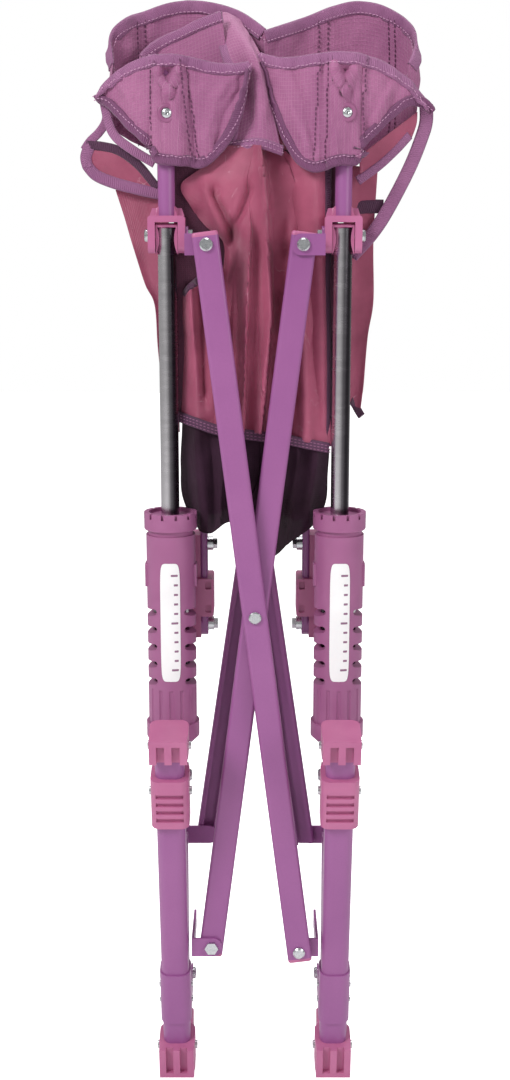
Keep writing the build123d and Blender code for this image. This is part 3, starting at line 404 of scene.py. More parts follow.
def gridMesh(name, grid, closed=False):
    # a mesh over the grid, with a map in metres along the cloth for its weave
    n, m = len(grid), len(grid[0])
    mesh = bpy.data.meshes.new(name)
    faces = []
    for i in range(n if closed else n - 1):
        k = (i + 1) % n
        for j in range(m - 1):
            faces.append((i * m + j, i * m + j + 1, k * m + j + 1, k * m + j))
    mesh.from_pydata([p for line in grid for p in line], [], faces)
    uv = mesh.uv_layers.new(name="weave")
    acrossLength = [[0.0] * m for _ in range(n + 1)]
    downLength = [[0.0] * m for _ in range(n + 1)]
    middle = m // 2
    for i in range(1, n + 1):
        step = (grid[i % n][middle] - grid[i - 1][middle]).length
        for j in range(m):
            acrossLength[i][j] = acrossLength[i - 1][j] + step
    for i in range(n + 1):
        for j in range(1, m):
            downLength[i][j] = downLength[i][j - 1] + (grid[i % n][j] - grid[i % n][j - 1]).length
    for poly in mesh.polygons:
        i, j = divmod(poly.vertices[0], m)
        for loop, (a, b) in zip(poly.loop_indices, ((i, j), (i, j + 1), (i + 1, j + 1), (i + 1, j))):
            uv.data[loop].uv = (acrossLength[a][b], downLength[a][b])
        poly.use_smooth = True
    return putInScene(name, mesh)


def settle(piece):
    # modifiers become the mesh itself
    graph = bpy.context.evaluated_depsgraph_get()
    mesh = bpy.data.meshes.new_from_object(piece.evaluated_get(graph))
    piece.modifiers.clear()
    piece.data = mesh


def thicken(piece, thick, offset=0.0):
    # thick is in mm
    solid = piece.modifiers.new("thickness", "SOLIDIFY")
    solid.thickness = thick * mm
    solid.offset = offset
    settle(piece)


def lengthOf(line):
    return sum((q - p).length for p, q in zip(line, line[1:]))


def meshFrom(work, name):
    # a bmesh becomes a named mesh with its faces outwards
    bmesh.ops.recalc_face_normals(work, faces=work.faces)
    mesh = bpy.data.meshes.new(name)
    work.to_mesh(mesh)
    work.free()
    return mesh


# section of a binding: share of its width in from the edge, share of its thickness off the cloth
bindingSection = [(-0.12, 0.0), (-0.05, 0.42), (0.12, 0.5), (0.88, 0.5), (1.0, 0.3), (1.0, -0.3),
                  (0.88, -0.5), (0.12, -0.5), (-0.05, -0.42)]


def band(name, edge, inward, width, thick, mat):
    # flat rounded binding folded over an edge, width and thick in mm
    count, k = len(edge), len(bindingSection)
    verts, faces = [], []
    for i, p in enumerate(edge):
        along = (edge[min(i + 1, count - 1)] - edge[max(i - 1, 0)]).normalized()
        inside = inward[i] - along * inward[i].dot(along)
        inside = inside.normalized() if inside.length > 1e-9 else Vector((0, 0, -1))
        face = along.cross(inside).normalized()
        for u, w in bindingSection:
            verts.append(p + inside * (u * width * mm) + face * (w * thick * mm))
    for i in range(count - 1):
        for j in range(k):
            a, b = i * k + j, i * k + (j + 1) % k
            faces.append((a, b, b + k, a + k))
    faces.append(tuple(range(k)))
    faces.append(tuple(range((count - 1) * k, count * k))[::-1])
    mesh = bpy.data.meshes.new(name)
    mesh.from_pydata(verts, [], faces)
    uv = mesh.uv_layers.new(name="weave")
    run = [0.0]
    for p, q in zip(edge, edge[1:]):
        run.append(run[-1] + (q - p).length)
    for poly in mesh.polygons:
        for loop in poly.loop_indices:
            vertex = mesh.loops[loop].vertex_index
            uv.data[loop].uv = (run[vertex // k], (vertex % k) / k * 2 * width * mm)
        poly.use_smooth = len(poly.vertices) == 4
    work = bmesh.new()
    work.from_mesh(mesh)
    bmesh.ops.recalc_face_normals(work, faces=work.faces)
    work.to_mesh(mesh)
    work.free()
    return paintWith(putInScene(name, mesh), mat)


def paintWith(piece, mat):
    piece.data.materials.clear()
    piece.data.materials.append(mat)
    return piece


def border(grid, side):
    # an edge of a sheet, and the way in from it
    if side == "top":
        return [line[0] for line in grid], [line[2] - line[0] for line in grid]
    if side == "bottom":
        return [line[-1] for line in grid], [line[-3] - line[-1] for line in grid]
    if side == "left":
        return list(grid[0]), [b - a for a, b in zip(grid[0], grid[2])]
    return list(grid[-1]), [b - a for a, b in zip(grid[-1], grid[-3])]


# stitches in mm: from one to the next, how thick, how long
stitchKinds = {
    "seam": (3.8, 1.1, 3.0),
    "edge": (3.4, 0.8, 2.6),
    "hem": (3.6, 0.8, 2.6),
    "tape": (3.2, 0.9, 2.4),
}


def stitchTree():
    # short threads set at equal steps along a line
    tree = bpy.data.node_groups.new("stitchesAlongLine", "GeometryNodeTree")
    tree.interface.new_socket("Geometry", in_out="INPUT", socket_type="NodeSocketGeometry")
    for label, size in zip(("Step", "Thread", "Length"), stitchKinds["hem"]):
        socket = tree.interface.new_socket(label, in_out="INPUT", socket_type="NodeSocketFloat")
        socket.default_value = size * mm
    tree.interface.new_socket("Material", in_out="INPUT", socket_type="NodeSocketMaterial")
    tree.interface.new_socket("Geometry", in_out="OUTPUT", socket_type="NodeSocketGeometry")

    def add(kind, **settings):
        node = tree.nodes.new(kind)
        for key, value in settings.items():
            setattr(node, key, value)
        return node

    start = add("NodeGroupInput")
    end = add("NodeGroupOutput")
    toCurve = add("GeometryNodeMeshToCurve")
    even = add("GeometryNodeResampleCurve", mode="LENGTH")
    points = add("GeometryNodeCurveToPoints", mode="EVALUATED")
    ball = add("GeometryNodeMeshUVSphere")
    ball.inputs["Segments"].default_value = 6
    ball.inputs["Rings"].default_value = 4
    ball.inputs["Radius"].default_value = 0.5
    size = add("ShaderNodeCombineXYZ")
    place = add("GeometryNodeInstanceOnPoints")
    realize = add("GeometryNodeRealizeInstances")
    paint = add("GeometryNodeSetMaterial")
    link = tree.links.new
    link(start.outputs["Geometry"], toCurve.inputs[0])
    link(toCurve.outputs[0], even.inputs["Curve"])
    link(start.outputs["Step"], even.inputs["Length"])
    link(even.outputs[0], points.inputs[0])
    link(points.outputs["Points"], place.inputs["Points"])
    link(points.outputs["Rotation"], place.inputs["Rotation"])
    link(ball.outputs[0], place.inputs["Instance"])
    link(start.outputs["Thread"], size.inputs[0])
    link(start.outputs["Thread"], size.inputs[1])
    link(start.outputs["Length"], size.inputs[2])
    link(size.outputs[0], place.inputs["Scale"])
    link(place.outputs[0], realize.inputs[0])
    link(realize.outputs[0], paint.inputs[0])
    link(start.outputs["Material"], paint.inputs["Material"])
    link(paint.outputs[0], end.inputs[0])
    return tree


sewing = stitchTree()


def stitches(name, lines, thread, kind):
    mesh = bpy.data.meshes.new(name)
    verts, edges = [], []
    for line in lines:
        first = len(verts)
        verts += line
        edges += [(first + k, first + k + 1) for k in range(len(line) - 1)]
    mesh.from_pydata(verts, edges, [])
    piece = putInScene(name, mesh)
    sew = piece.modifiers.new("sew", "NODES")
    sew.node_group = sewing
    step, thick, length = (size * mm for size in stitchKinds[kind])
    values = {"Step": step, "Thread": thick, "Length": length, "Material": thread}
    for item in sewing.interface.items_tree:
        if item.in_out == "INPUT" and item.name in values:
            sew[item.identifier] = values[item.name]
    settle(piece)
    return piece


def join(name, pieces):
    # several meshes become one object that keeps its materials
    with bpy.context.temp_override(active_object=pieces[0], object=pieces[0], selected_objects=pieces,
                                   selected_editable_objects=pieces):
        bpy.ops.object.join()
    pieces[0].name = pieces[0].data.name = name
    return pieces[0]


def offsetLine(grid, side, step, lift):
    # a line on the sheet, step mm in from an edge and lift mm off its face
    edge, inward = border(grid, side)
    face = normals(grid)
    atEdge = {"top": 0, "bottom": -1}[side]
    out = []
    for p, d, line in zip(edge, inward, face):
        way = d.normalized() if d.length > 1e-9 else Vector()
        out.append(p + way * (step * mm) + line[atEdge] * (lift * mm))
    return out


weaveLook = {
    "cloud": 71.43,             # mm between changes of tone
    "bump": (0.55, 0.5),        # strength, mm
    "heavySharp": 26.0,         # how narrow the heavy threads of ripstop are
    "heavyPaler": 0.09,
    "heavyTint": (1, 0.85, 0.95, 1),
    "creaseWander": 33.33,      # mm
    "creaseApart": 38.46,       # mm
    "scuff": "#D3A6B4",
    "sheen": 0.2,
    "openSheen": 0.05,          # open threads give almost no gloss
    "openGloss": 0.15,
}


def clothMaterial(name, dark, light, weave, rough, ripstop=0.0, satin=0.0, alpha=1.0, twill=0.0):
    # woven polyester: threads at right angles; ripstop has a heavier thread every few millimetres
    # weave, ripstop and twill are spacings in mm; plain threads are drawn coarser than real ones, to show
    mat = newMaterial(name)
    flat = addNode(mat, "ShaderNodeUVMap", {"uv_map": "weave"}).outputs[0]
    place = addNode(mat, "ShaderNodeTexCoord").outputs["Object"]
    tone = addNode(mat, "ShaderNodeTexNoise", {"Scale": perMetre(weaveLook["cloud"]), "Detail": 5.0,
                                               "Roughness": 0.6}, Vector=place).outputs[0]
    tones = [(0.32, linear(dark)), (0.68, linear(light))]
    colour = addNode(mat, "ShaderNodeValToRGB", {"stops": tones}, n0=tone).outputs[0]
    split = addNode(mat, "ShaderNodeSeparateXYZ", Vector=flat)

    def thread(axis, pitch, sharp):
        turns = addNode(mat, "ShaderNodeMath", {"operation": "MULTIPLY", "1": 2 * pi / (pitch * mm)},
                        n0=split.outputs[axis])
        wave = addNode(mat, "ShaderNodeMath", {"operation": "COSINE"}, n0=turns.outputs[0])
        lifted = addNode(mat, "ShaderNodeMath", {"operation": "MULTIPLY_ADD", "1": 0.5, "2": 0.5},
                         n0=wave.outputs[0])
        return addNode(mat, "ShaderNodeMath", {"operation": "POWER", "1": sharp},
                       n0=lifted.outputs[0]).outputs[0]

    height = addNode(mat, "ShaderNodeMath", {"operation": "MULTIPLY"},
                     n0=thread(0, weave, 1.0), n1=thread(1, weave, 1.0)).outputs[0]
    if ripstop:
        heavy = addNode(mat, "ShaderNodeMath", {"operation": "MAXIMUM"},
                        n0=thread(0, ripstop, weaveLook["heavySharp"]),
                        n1=thread(1, ripstop, weaveLook["heavySharp"])).outputs[0]
        share = addNode(mat, "ShaderNodeMath", {"operation": "MULTIPLY", "1": weaveLook["heavyPaler"]},
                        n0=heavy).outputs[0]
        colour = addNode(mat, "ShaderNodeMix", {"data_type": "RGBA", "blend_type": "ADD",
                                                "7": weaveLook["heavyTint"]}, n0=share, n6=colour).outputs[2]
        height = addNode(mat, "ShaderNodeMath", {"operation": "MULTIPLY_ADD", "1": 2.0},
                         n0=heavy, n2=height).outputs[0]
    if twill:
        slant = addNode(mat, "ShaderNodeMath", {"operation": "ADD"}, n0=split.outputs[0], n1=split.outputs[1])
        turns = addNode(mat, "ShaderNodeMath", {"operation": "MULTIPLY", "1": 2 * pi / (twill * mm)},
                        n0=slant.outputs[0])
        height = addNode(mat, "ShaderNodeMath", {"operation": "COSINE"}, n0=turns.outputs[0]).outputs[0]
    if satin:
        # pale scuffs where the coating has creased
        warp = addNode(mat, "ShaderNodeTexNoise", {"Scale": perMetre(weaveLook["creaseWander"]),
                                                   "Detail": 3.0, "Distortion": 2.0}, Vector=place)
        bend = addNode(mat, "ShaderNodeVectorMath", {"operation": "SCALE", "Scale": 0.05}, n0=warp.outputs[1])
        bent = addNode(mat, "ShaderNodeVectorMath", {"operation": "ADD"}, n0=place, n1=bend.outputs[0])
        line = addNode(mat, "ShaderNodeTexVoronoi", {"feature": "DISTANCE_TO_EDGE",
                                                     "Scale": perMetre(weaveLook["creaseApart"])},
                       Vector=bent.outputs[0])
        thin = addNode(mat, "ShaderNodeValToRGB", {"stops": [(0.0, 1.0), (0.012, 0.0)]}, n0=line.outputs[0])
        patch = addNode(mat, "ShaderNodeValToRGB", {"stops": [(0.56, 0.0), (0.64, 1.0)]}, n0=warp.outputs[0])
        scuff = addNode(mat, "ShaderNodeMath", {"operation": "MULTIPLY"}, n0=thin.outputs[0],
                        n1=patch.outputs[0])
        share = addNode(mat, "ShaderNodeMath", {"operation": "MULTIPLY", "1": satin}, n0=scuff.outputs[0])
        colour = addNode(mat, "ShaderNodeMix", {"data_type": "RGBA", "7": linear(weaveLook["scuff"])},
                         n0=share.outputs[0], n6=colour).outputs[2]
    worn = [(0.3, rough - 0.05), (0.7, rough + 0.07)]
    dullness = addNode(mat, "ShaderNodeValToRGB", {"stops": worn}, n0=tone)
    strength, deep = weaveLook["bump"]
    bump = addNode(mat, "ShaderNodeBump", {"Strength": strength, "Distance": deep * mm}, Height=height)
    gloss = {"IOR": 1.5, "Sheen Weight": weaveLook["sheen"], "Sheen Roughness": 0.4}
    if alpha < 1:
        gloss.update({"Alpha": alpha, "Sheen Weight": weaveLook["openSheen"],
                      "Specular IOR Level": weaveLook["openGloss"]})
    shader = addNode(mat, "ShaderNodeBsdfPrincipled", gloss, Base_Color=colour, Roughness=dullness.outputs[0],
                     Normal=bump.outputs[0])
    addNode(mat, "ShaderNodeOutputMaterial", Surface=shader.outputs[0])
    return mat


# ripstop is dull with a fine grid; the coated cloth has a soft shine and pale creases
ripstopCloth = clothMaterial("ripstopPolyester", "#9E5986", "#B66F9A", 0.9, 0.62, ripstop=3.0)
coatedCloth = clothMaterial("coatedSatinPolyester", "#943E5C", "#BA5A7A", 0.8, 0.35, satin=0.55)
# the open knit lets a little light through; the dark sheet behind stands for the seat's far side, its dark
# colour painted shade
meshCloth = clothMaterial("openKnitMesh", "#27131F", "#43283C", 1.6, 0.7, alpha=0.93)
paintedShadeCloth = clothMaterial("paintedShadeLining", "#4A2036", "#5E2C46", 1.6, 0.75)
# bindings and tape are dull, and the bindings show the slant of their twill
bindingCloth = clothMaterial("twillBinding", "#925884", "#A66C96", 1.4, 0.66, twill=1.7)
# a darker copy of the binding: painted shade for the pockets' lower hems
shadedBinding = clothMaterial("twillBindingPaintedShade", "#744068", "#865078", 1.4, 0.68, twill=1.7)
darkBinding = clothMaterial("darkTwillBinding", "#4A2642", "#5E3654", 1.4, 0.66, twill=1.7)
seamTape = clothMaterial("seamTape", "#4E2A48", "#613A58", 1.4, 0.66)
# bonded sewing thread has the gloss of moulded nylon
darkThread = mouldedPlastic("bondedThread", "#5A2C4E", "#6C3A5E", 0.6)
paleThread = mouldedPlastic("paleThread", "#BE8AAE", "#CC9CBC", 0.6)
mauveThread = mouldedPlastic("mauveThread", "#8A5278", "#9C6288", 0.6)
print("cloth materials made")

sheetThick = 1.0          # mm
pocketThick = 0.9         # mm, also the collars
bindingThick = 2.6        # mm


def openWithPole(piece):
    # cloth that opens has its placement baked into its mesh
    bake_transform(piece)


def finishSheet(piece, body, withPieces=(), opensWith=None):
    for each in (piece, *withPieces):
        if opensWith:
            openWithPole(each)
        else:
            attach(each, body)


def cloth(name, grid, mat, thick=sheetThick):
    piece = paintWith(gridMesh(name, grid), mat)
    thicken(piece, thick)
    return piece


# depths are counted from just in front of the pole
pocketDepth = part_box("rear_pole_left")[0].y / mm - 1.0
pocketMake = {
    "mesh": (110, 60),
    "bulge": 2.0,               # mm
    "crumple": (1.6, 14.0),     # mm deep, mm wide
    "puff": 2.6,                # mm that the panel over the pole stands off
    "topHem": (8.5, 2.6),       # mm wide, mm thick
    "bottomHem": (7.8, 2.6),
    "topStitches": (7.2, 2.2),  # mm in from the edge, mm off the cloth
    "bottomStitches": (6.6, 2.2),
}
# columns and folds as in columnSheet; the panel's middle and half width and the seams' ends are in mm across
pockets = {
    "left": {
        "columns": [
            (99, 95, 101, 22, 22), (112, 76, 110, 15, 15), (126, 66, 126, 9, 9), (141, 59.5, 140, 4, 4),
            (154, 56.5, 152, 1, 1), (158, 56, 162, -0.5, -0.5), (173, 55.5, 164.5, -1, -1),
            (188, 57.5, 165.5, 1, 1), (203, 61, 167, 2, 2), (218, 64, 156, 2, 2), (233, 64.5, 136, 2, 2),
            (244, 63, 106, 2, 2), (249, 62, 70, 3, 3)],
        "folds": [
            ("dent", [(167, 73)], 7, 9),
            ("ridge", [(159, 72), (163, 82), (169, 90)], 2.5, 3.5),
            ("ridge", [(179, 72), (175, 82), (170, 90)], 2.5, 3.5),
            ("ridge", [(178, 90), (176, 120), (180, 150)], 4, 1.6),
            ("ridge", [(152, 70), (152, 152)], 2.5, -2.0),
            ("ridge", [(186, 66), (196, 160)], 2.5, -2.0),
            ("ridge", [(116, 80), (130, 98), (143, 128)], 5, 2.2),
            ("ridge", [(232, 76), (216, 100), (206, 140)], 6, 2.4),
            ("ridge", [(240, 90), (226, 112), (216, 146)], 4, -2.2)],
        "panel": (-68.5, 16.0),
        "seams": [(-82.5, -81), (-60, -50), (-54.5, -44)],
        "seed": 3.0,
    },
    "right": {
        "columns": [
            (262, 54.7, 64, 22, 22), (270, 56.5, 98, 18, 18), (281, 58.3, 134, 12, 12), (296, 58, 160, 7, 7),
            (312, 55.5, 171, 3, 3), (328, 53.2, 169, 0, 0), (338, 52.8, 164.5, -1, -1),
            (356, 54.2, 164, 0, 0), (361, 55, 150, 1, 1), (376, 59, 134, 5, 5), (392, 67, 119, 10, 10),
            (408, 79, 106, 15, 15), (421, 93, 107, 19, 19), (430, 106, 113, 22, 22)],
        "folds": [
            ("dent", [(345, 71)], 7, 9),
            ("ridge", [(335, 68), (339, 80), (345, 90)], 2.5, 3.5),
            ("ridge", [(355, 70), (351, 80), (346, 90)], 2.5, 3.5),
            ("ridge", [(338, 92), (340, 120), (336, 154)], 4, 1.6),
            ("ridge", [(324, 62), (322, 160)], 2.5, -2.0),
            ("ridge", [(362, 66), (360, 146)], 2.5, -2.0),
            ("ridge", [(396, 80), (386, 100), (374, 126)], 5, 2.4),
            ("ridge", [(278, 76), (292, 108), (306, 146)], 6, 2.4),
            ("ridge", [(296, 72), (304, 104), (314, 150)], 4, -2.2)],
        "panel": (72.5, 15.0),
        "seams": [(50.5, 46.5), (57.5, 56), (86.5, 85)],
        "seed": 11.0,
    },
}


def threadRun(grid, away, places):
    # a seam's line, lifted off the cloth, from the grid's column and row numbers
    lift = 1.2 * mm
    return [grid[i][j] + away[i][j] * lift for i, j in places]


def pocket(side):
    shape = pockets[side]
    columns = [(x, top, low, pocketDepth + near, pocketDepth + far)
               for x, top, low, near, far in shape["columns"]]
    grid = columnSheet(columns, *pocketMake["mesh"], pocketMake["bulge"], shape["folds"])
    crumple(grid, *pocketMake["crumple"], shape["seed"])
    # the panel over the pole is eased in, so it stands off in a soft ridge
    away = normals(grid)
    middle, half = shape["panel"]
    for i, line in enumerate(grid):
        for j, p in enumerate(line):
            off = abs(p.x - middle * mm) / (half * mm)
            if off < 1:
                line[j] = p + away[i][j] * (pocketMake["puff"] * mm) * (1 - off ** 10)
    name = f"pocket_{side}"
    piece = paintWith(gridMesh(name, grid), ripstopCloth)
    thicken(piece, pocketThick)
    trim = join(f"{name}_binding", [
        band(f"{name}_top", *border(grid, "top"), *pocketMake["topHem"], bindingCloth),
        # the lower hem takes the darker copy of the binding as painted shade
        band(f"{name}_bottom", *border(grid, "bottom"), *pocketMake["bottomHem"], shadedBinding)])
    first, last = 3, len(grid[0]) - 4    # seams stop short of the hems
    seams = []
    for high, foot in shape["seams"]:
        places = []
        for j in range(first, last):
            x = (high + (foot - high) * j / last) * mm
            places.append((min(range(len(grid)), key=lambda k: abs(grid[k][j].x - x)), j))
        seams.append(threadRun(grid, away, places))
    dark = stitches(f"{name}_seams", seams, darkThread, "seam")
    edges = [offsetLine(grid, "top", *pocketMake["topStitches"]),
             offsetLine(grid, "bottom", *pocketMake["bottomStitches"])]
    pale = stitches(f"{name}_edge_stitches", edges, paleThread, "edge")
    finishSheet(piece, f"rear_pole_{side}", [trim, dark, pale])
    return grid


pocketGrid = {side: pocket(side) for side in pockets}
print("pole pockets sewn")

collarMake = {
    "mesh": (96, 30),
    "crumple": (3.0, 25.0),     # mm deep, mm wide
    "hem": (9.5, 2.8),          # mm wide, mm thick
    "stitches": (8.2, 2.4),     # mm in from the edge, mm off the cloth
}
# columns as in columnSheet, seams as shares of the way across
collars = {
    "left": {
        "columns": [
            (113.5, 64, 96, 16, 16), (109.5, 46, 110, 24, 22), (113, 31, 125, 33, 30), (126, 19, 138, 42, 40),
            (145, 12.5, 148, 52, 50), (167, 5, 156, 58, 56), (189, 1.5, 160, 60, 58), (209, 3, 158, 57, 55),
            (229, 8, 150, 50, 50), (247, 16, 140, 42, 42), (266, 30, 120, 34, 34)],
        "seams": (0.36, 0.41),
        "seed": 21.0,
    },
    "right": {
        "columns": [
            (264, 32, 110, 32, 32), (284, 25.5, 135, 40, 40), (308, 17.5, 150, 50, 50),
            (333, 7.5, 158, 58, 57), (358, 2.5, 160, 60, 58), (381, 6, 152, 54, 52), (401, 16, 138, 44, 42),
            (414.5, 30, 120, 32, 30), (416.5, 46, 105, 23, 22), (408, 64, 90, 15, 15)],
        "seams": (0.27, 0.31, 0.60, 0.64),
        "seed": 27.0,
    },
}


def collar(side):
    shape = collars[side]
    grid = columnSheet(shape["columns"], *collarMake["mesh"])
    crumple(grid, *collarMake["crumple"], shape["seed"])
    name = f"collar_{side}"
    piece = paintWith(gridMesh(name, grid), ripstopCloth)
    thicken(piece, pocketThick)
    trim = band(f"{name}_binding", *border(grid, "top"), *collarMake["hem"], bindingCloth)
    away = normals(grid)
    seams = []
    for share in shape["seams"]:
        i = round(share * (len(grid) - 1))
        seams.append(threadRun(grid, away, [(i, j) for j in range(2, len(grid[0]))]))
    dark = stitches(f"{name}_seams", seams, darkThread, "seam")
    edge = offsetLine(grid, "top", *collarMake["stitches"])
    pale = stitches(f"{name}_edge_stitches", [edge], paleThread, "edge")
    finishSheet(piece, f"front_pole_{side}", [trim, dark, pale])


for side in collars:
    collar(side)
print("collars sewn")


def shaped(shape):
    # rows and folds as in rowSheet; crumple is mm deep, mm wide and its place in the noise
    grid = rowSheet(shape["rows"], *shape["mesh"], shape.get("folds", ()))
    return crumple(grid, *shape["crumple"])


# the middle strip of the back, folded forward between the pockets
middleStrip = {
    "rows": [
        [(216, 14, 50), (222, 13, 49), (230, 14, 47), (240, 20, 44)],
        [(218, 32, 34), (226, 28, 30), (238, 28, 27), (251, 37, 28)],
        [(224, 60, 14), (240, 57, 8), (252, 56, 4), (264, 62, 5)],
        [(236, 86, 5), (248, 84, 3), (259, 84, -4), (271, 98, 3)],
        [(234, 118, 4), (247, 116, 2), (261, 118, -6), (277, 128, 2)],
        [(228, 151, 6), (244, 149, -3), (261, 148, -7), (282, 155, 1)]],
    "folds": [
        ("lap", [(250, 40), (258, 62), (268, 100)], 5, 3),
        ("ridge", [(240, 60), (250, 100), (258, 148)], 6, -2.5)],
    "mesh": (40, 60),
    "crumple": (1.0, 20.0, 33.0),
    "sideHem": (6.0, 2.6),      # mm wide, mm thick
    "lowHem": (7.5, 2.4),
    "stitches": [(5.5, 2.0), (1.5, 2.0)],    # mm in from the edge, mm off the cloth
}


def sewMiddleStrip(name, shape):
    grid = shaped(shape)
    piece = cloth(name, grid, ripstopCloth)
    trim = join(f"{name}_binding", [
        band(f"{name}_left", *border(grid, "left"), *shape["sideHem"], bindingCloth),
        band(f"{name}_low", *border(grid, "bottom"), *shape["lowHem"], bindingCloth)])
    rows = [offsetLine(grid, "bottom", *place) for place in shape["stitches"]]
    pale = stitches(f"{name}_stitches", rows, paleThread, "hem")
    finishSheet(piece, "seat", [trim, pale])


sewMiddleStrip("middle_strip", middleStrip)

innerFlap = {
    "rows": [
        [(140, 56, 30), (152, 44, 36), (166, 36, 40), (182, 29, 38), (200, 20, 32), (222, 12, 24)],
        [(138, 80, 26), (152, 72, 32), (168, 66, 36), (184, 62, 34), (204, 58, 28), (226, 52, 18)],
        [(140, 110, 20), (152, 110, 26), (168, 110, 30), (184, 108, 30), (204, 104, 24), (226, 98, 14)]],
    "mesh": (44, 30),
    "crumple": (1.2, 30.0, 41.0),
    "hem": (8.5, 2.6),          # mm wide, mm thick
    "stitches": (7.0, 2.2),     # mm in from the edge, mm off the cloth
}


def sewInnerFlap(name, shape, pole):
    grid = shaped(shape)
    piece = cloth(name, grid, ripstopCloth)
    trim = band(f"{name}_binding", *border(grid, "top"), *shape["hem"], bindingCloth)
    pale = stitches(f"{name}_stitches", [offsetLine(grid, "top", *shape["stitches"])], paleThread, "hem")
    finishSheet(piece, pole, [trim, pale])


sewInnerFlap("inner_flap_left", innerFlap, "front_pole_left")
print("inner layers sewn")


def halves(name, shape, mat):
    # a sheet over both sides is cut at the middle, and each half is its own piece with its placement baked in
    grid = shaped(shape)
    cut = min(range(len(grid)), key=lambda i: abs(sum(p.x for p in grid[i]) / len(grid[i])))
    for side, part in (("left", grid[:cut + 1]), ("right", grid[cut:])):
        piece = cloth(f"{name}_{side}", part, mat)
        finishSheet(piece, "seat", opensWith=side)


def sideSheet(name, shape, side, held):
    # bindings: what their piece's name starts with, their edges, their width in mm and their cloth
    # cloth that hangs goes with its pole, and folded cloth has its placement baked in
    grid = shaped(shape)
    piece = cloth(name, grid, coatedCloth)
    trims = []
    for start, edges, width, mat in shape.get("bindings", ()):
        trims.append(join(f"{start}_binding", [
            band(f"{start}_{edge}", *border(grid, edge), width, bindingThick, mat) for edge in edges]))
    if held == "hung":
        finishSheet(piece, f"rear_pole_{side}", trims)
    else:
        finishSheet(piece, "seat", trims, opensWith=side)


# the seat's coated cloth falls from the strip's hem, its left corner turned over above the bars
seatFold = {
    "rows": [
        [(226, 146, 5), (240, 146, 0), (258, 145, -2), (284, 150, 6)],
        [(205, 166, 5), (228, 163, -4), (258, 162, -6), (292, 172, 6)],
        [(182, 185, 6), (218, 182, -7), (256, 182, -9), (300, 195, 12)],
        [(191, 205, 6), (222, 203, -8), (258, 206, -8), (305, 218, 15)],
        [(206, 226, 6), (230, 225, -8), (260, 232, -9), (312, 245, 16)],
        [(224, 243, 7), (240, 252, -7), (264, 262, -7), (320, 280, 14)],
        [(222, 285, 5), (240, 290, -6), (266, 300, -4), (326, 320, 8)],
        [(214, 340, 4), (238, 345, -5), (268, 355, -3), (330, 375, 6)],
        [(214, 385, 3), (240, 392, -5), (272, 400, -4), (331, 415, 4)],
        [(214, 427, 2), (242, 431, -5), (274, 436, -5), (332, 446, 2)]],
    "folds": [
        ("lap", [(262, 150), (267, 195), (270, 277), (272, 325), (267, 374), (262, 432)], 7, 13),
        ("ridge", [(292, 230), (294, 270), (296, 330)], 6, 5),
        ("lap", [(298, 178), (304, 215), (310, 245), (318, 320)], 6, 5),
        ("ridge", [(214, 196), (224, 214), (232, 232)], 4, -6),
        ("ridge", [(232, 232), (230, 262), (224, 310)], 5, -6),
        ("ridge", [(250, 190), (241, 214), (233, 230)], 4, -5),
        ("ridge", [(206, 190), (214, 212), (222, 232)], 5, 4),
        ("lap", [(251, 240), (249, 300), (244, 420)], 7, 6),
        ("ridge", [(237, 280), (234, 350), (230, 425)], 5, -7),
        ("dent", [(196, 216)], 8, 5),
        ("dent", [(284, 250)], 7, 5),
        ("dent", [(292, 395)], 9, 4),
        ("ridge", [(303, 300), (307, 430)], 6, 7),
        ("ridge", [(284, 300), (286, 430)], 5, -7)],
    "mesh": (90, 90),
    "crumple": (2.0, 35.0, 51.0),
}
halves("seat_fold", seatFold, coatedCloth)

# the seat's turned-back sides, behind the bars
seatSideRight = {
    "rows": [
        [(284, 150, 9), (300, 160, 6), (318, 160, 4), (331, 150, 8)],
        [(290, 190, 10), (304, 190, 4), (318, 186, 0), (331, 180, 6)],
        [(294, 230, 11), (308, 230, 4), (320, 232, 0), (331, 236, 6)],
        [(300, 280, 11), (312, 282, 4), (322, 284, 1), (330, 286, 8)],
        [(304, 340, 11), (314, 342, 3), (324, 344, 0), (332, 346, 6)],
        [(306, 400, 11), (316, 402, 3), (325, 404, 0), (332, 406, 5)],
        [(300, 438, 10), (312, 440, 3), (324, 443, 1), (332, 446, 4)]],
    "mesh": (34, 80),
    "crumple": (2.0, 45.0, 57.0),
    "bindings": [("seat_side_right", ["right"], 5.5, darkBinding)],
}
sideSheet("seat_side_right", seatSideRight, "right", "folded")

seatSideLeft = {
    "rows": [
        [(183, 293, 9), (190, 284, 5), (200, 277, 4), (222, 270, 8)],
        [(184, 325, 9), (193, 331, -3), (205, 322, 3), (224, 318, 8)],
        [(184, 370, 8), (196, 371, -4), (210, 367, 2), (226, 364, 8)],
        [(182, 412, 6), (197, 419, -3), (213, 424, 1), (228, 428, 6)]],
    "folds": [
        ("ridge", [(191, 290), (192, 318), (194, 336)], 4, 6),
        ("ridge", [(200, 285), (201, 330), (205, 390)], 4, -6),
        ("ridge", [(212, 290), (213, 400)], 5, 5),
        ("dent", [(193, 336)], 7, 3)],
    "mesh": (40, 60),
    "crumple": (1.2, 45.0, 61.0),
    "bindings": [("seat_side_left", ["top"], 5.5, darkBinding)],
}
sideSheet("seat_side_left", seatSideLeft, "left", "folded")

# the seat's far side, dark beside the poles as painted shade
paintedShadeSheet = {
    "rows": [
        [(172, 150, 10), (214, 150, 12), (256, 150, 22), (298, 150, 12), (340, 150, 10)],
        [(175, 240, 7), (212, 240, 12), (256, 240, 22), (300, 240, 12), (338, 240, 7)],
        [(177, 330, 7), (212, 330, 12), (256, 330, 22), (300, 330, 12), (337, 330, 7)],
        [(178, 420, 7), (212, 424, 12), (256, 430, 22), (300, 436, 12), (336, 442, 7)]],
    "mesh": (40, 50),
    "crumple": (1.2, 45.0, 67.0),
}
halves("paintedShadeSheet", paintedShadeSheet, paintedShadeCloth)

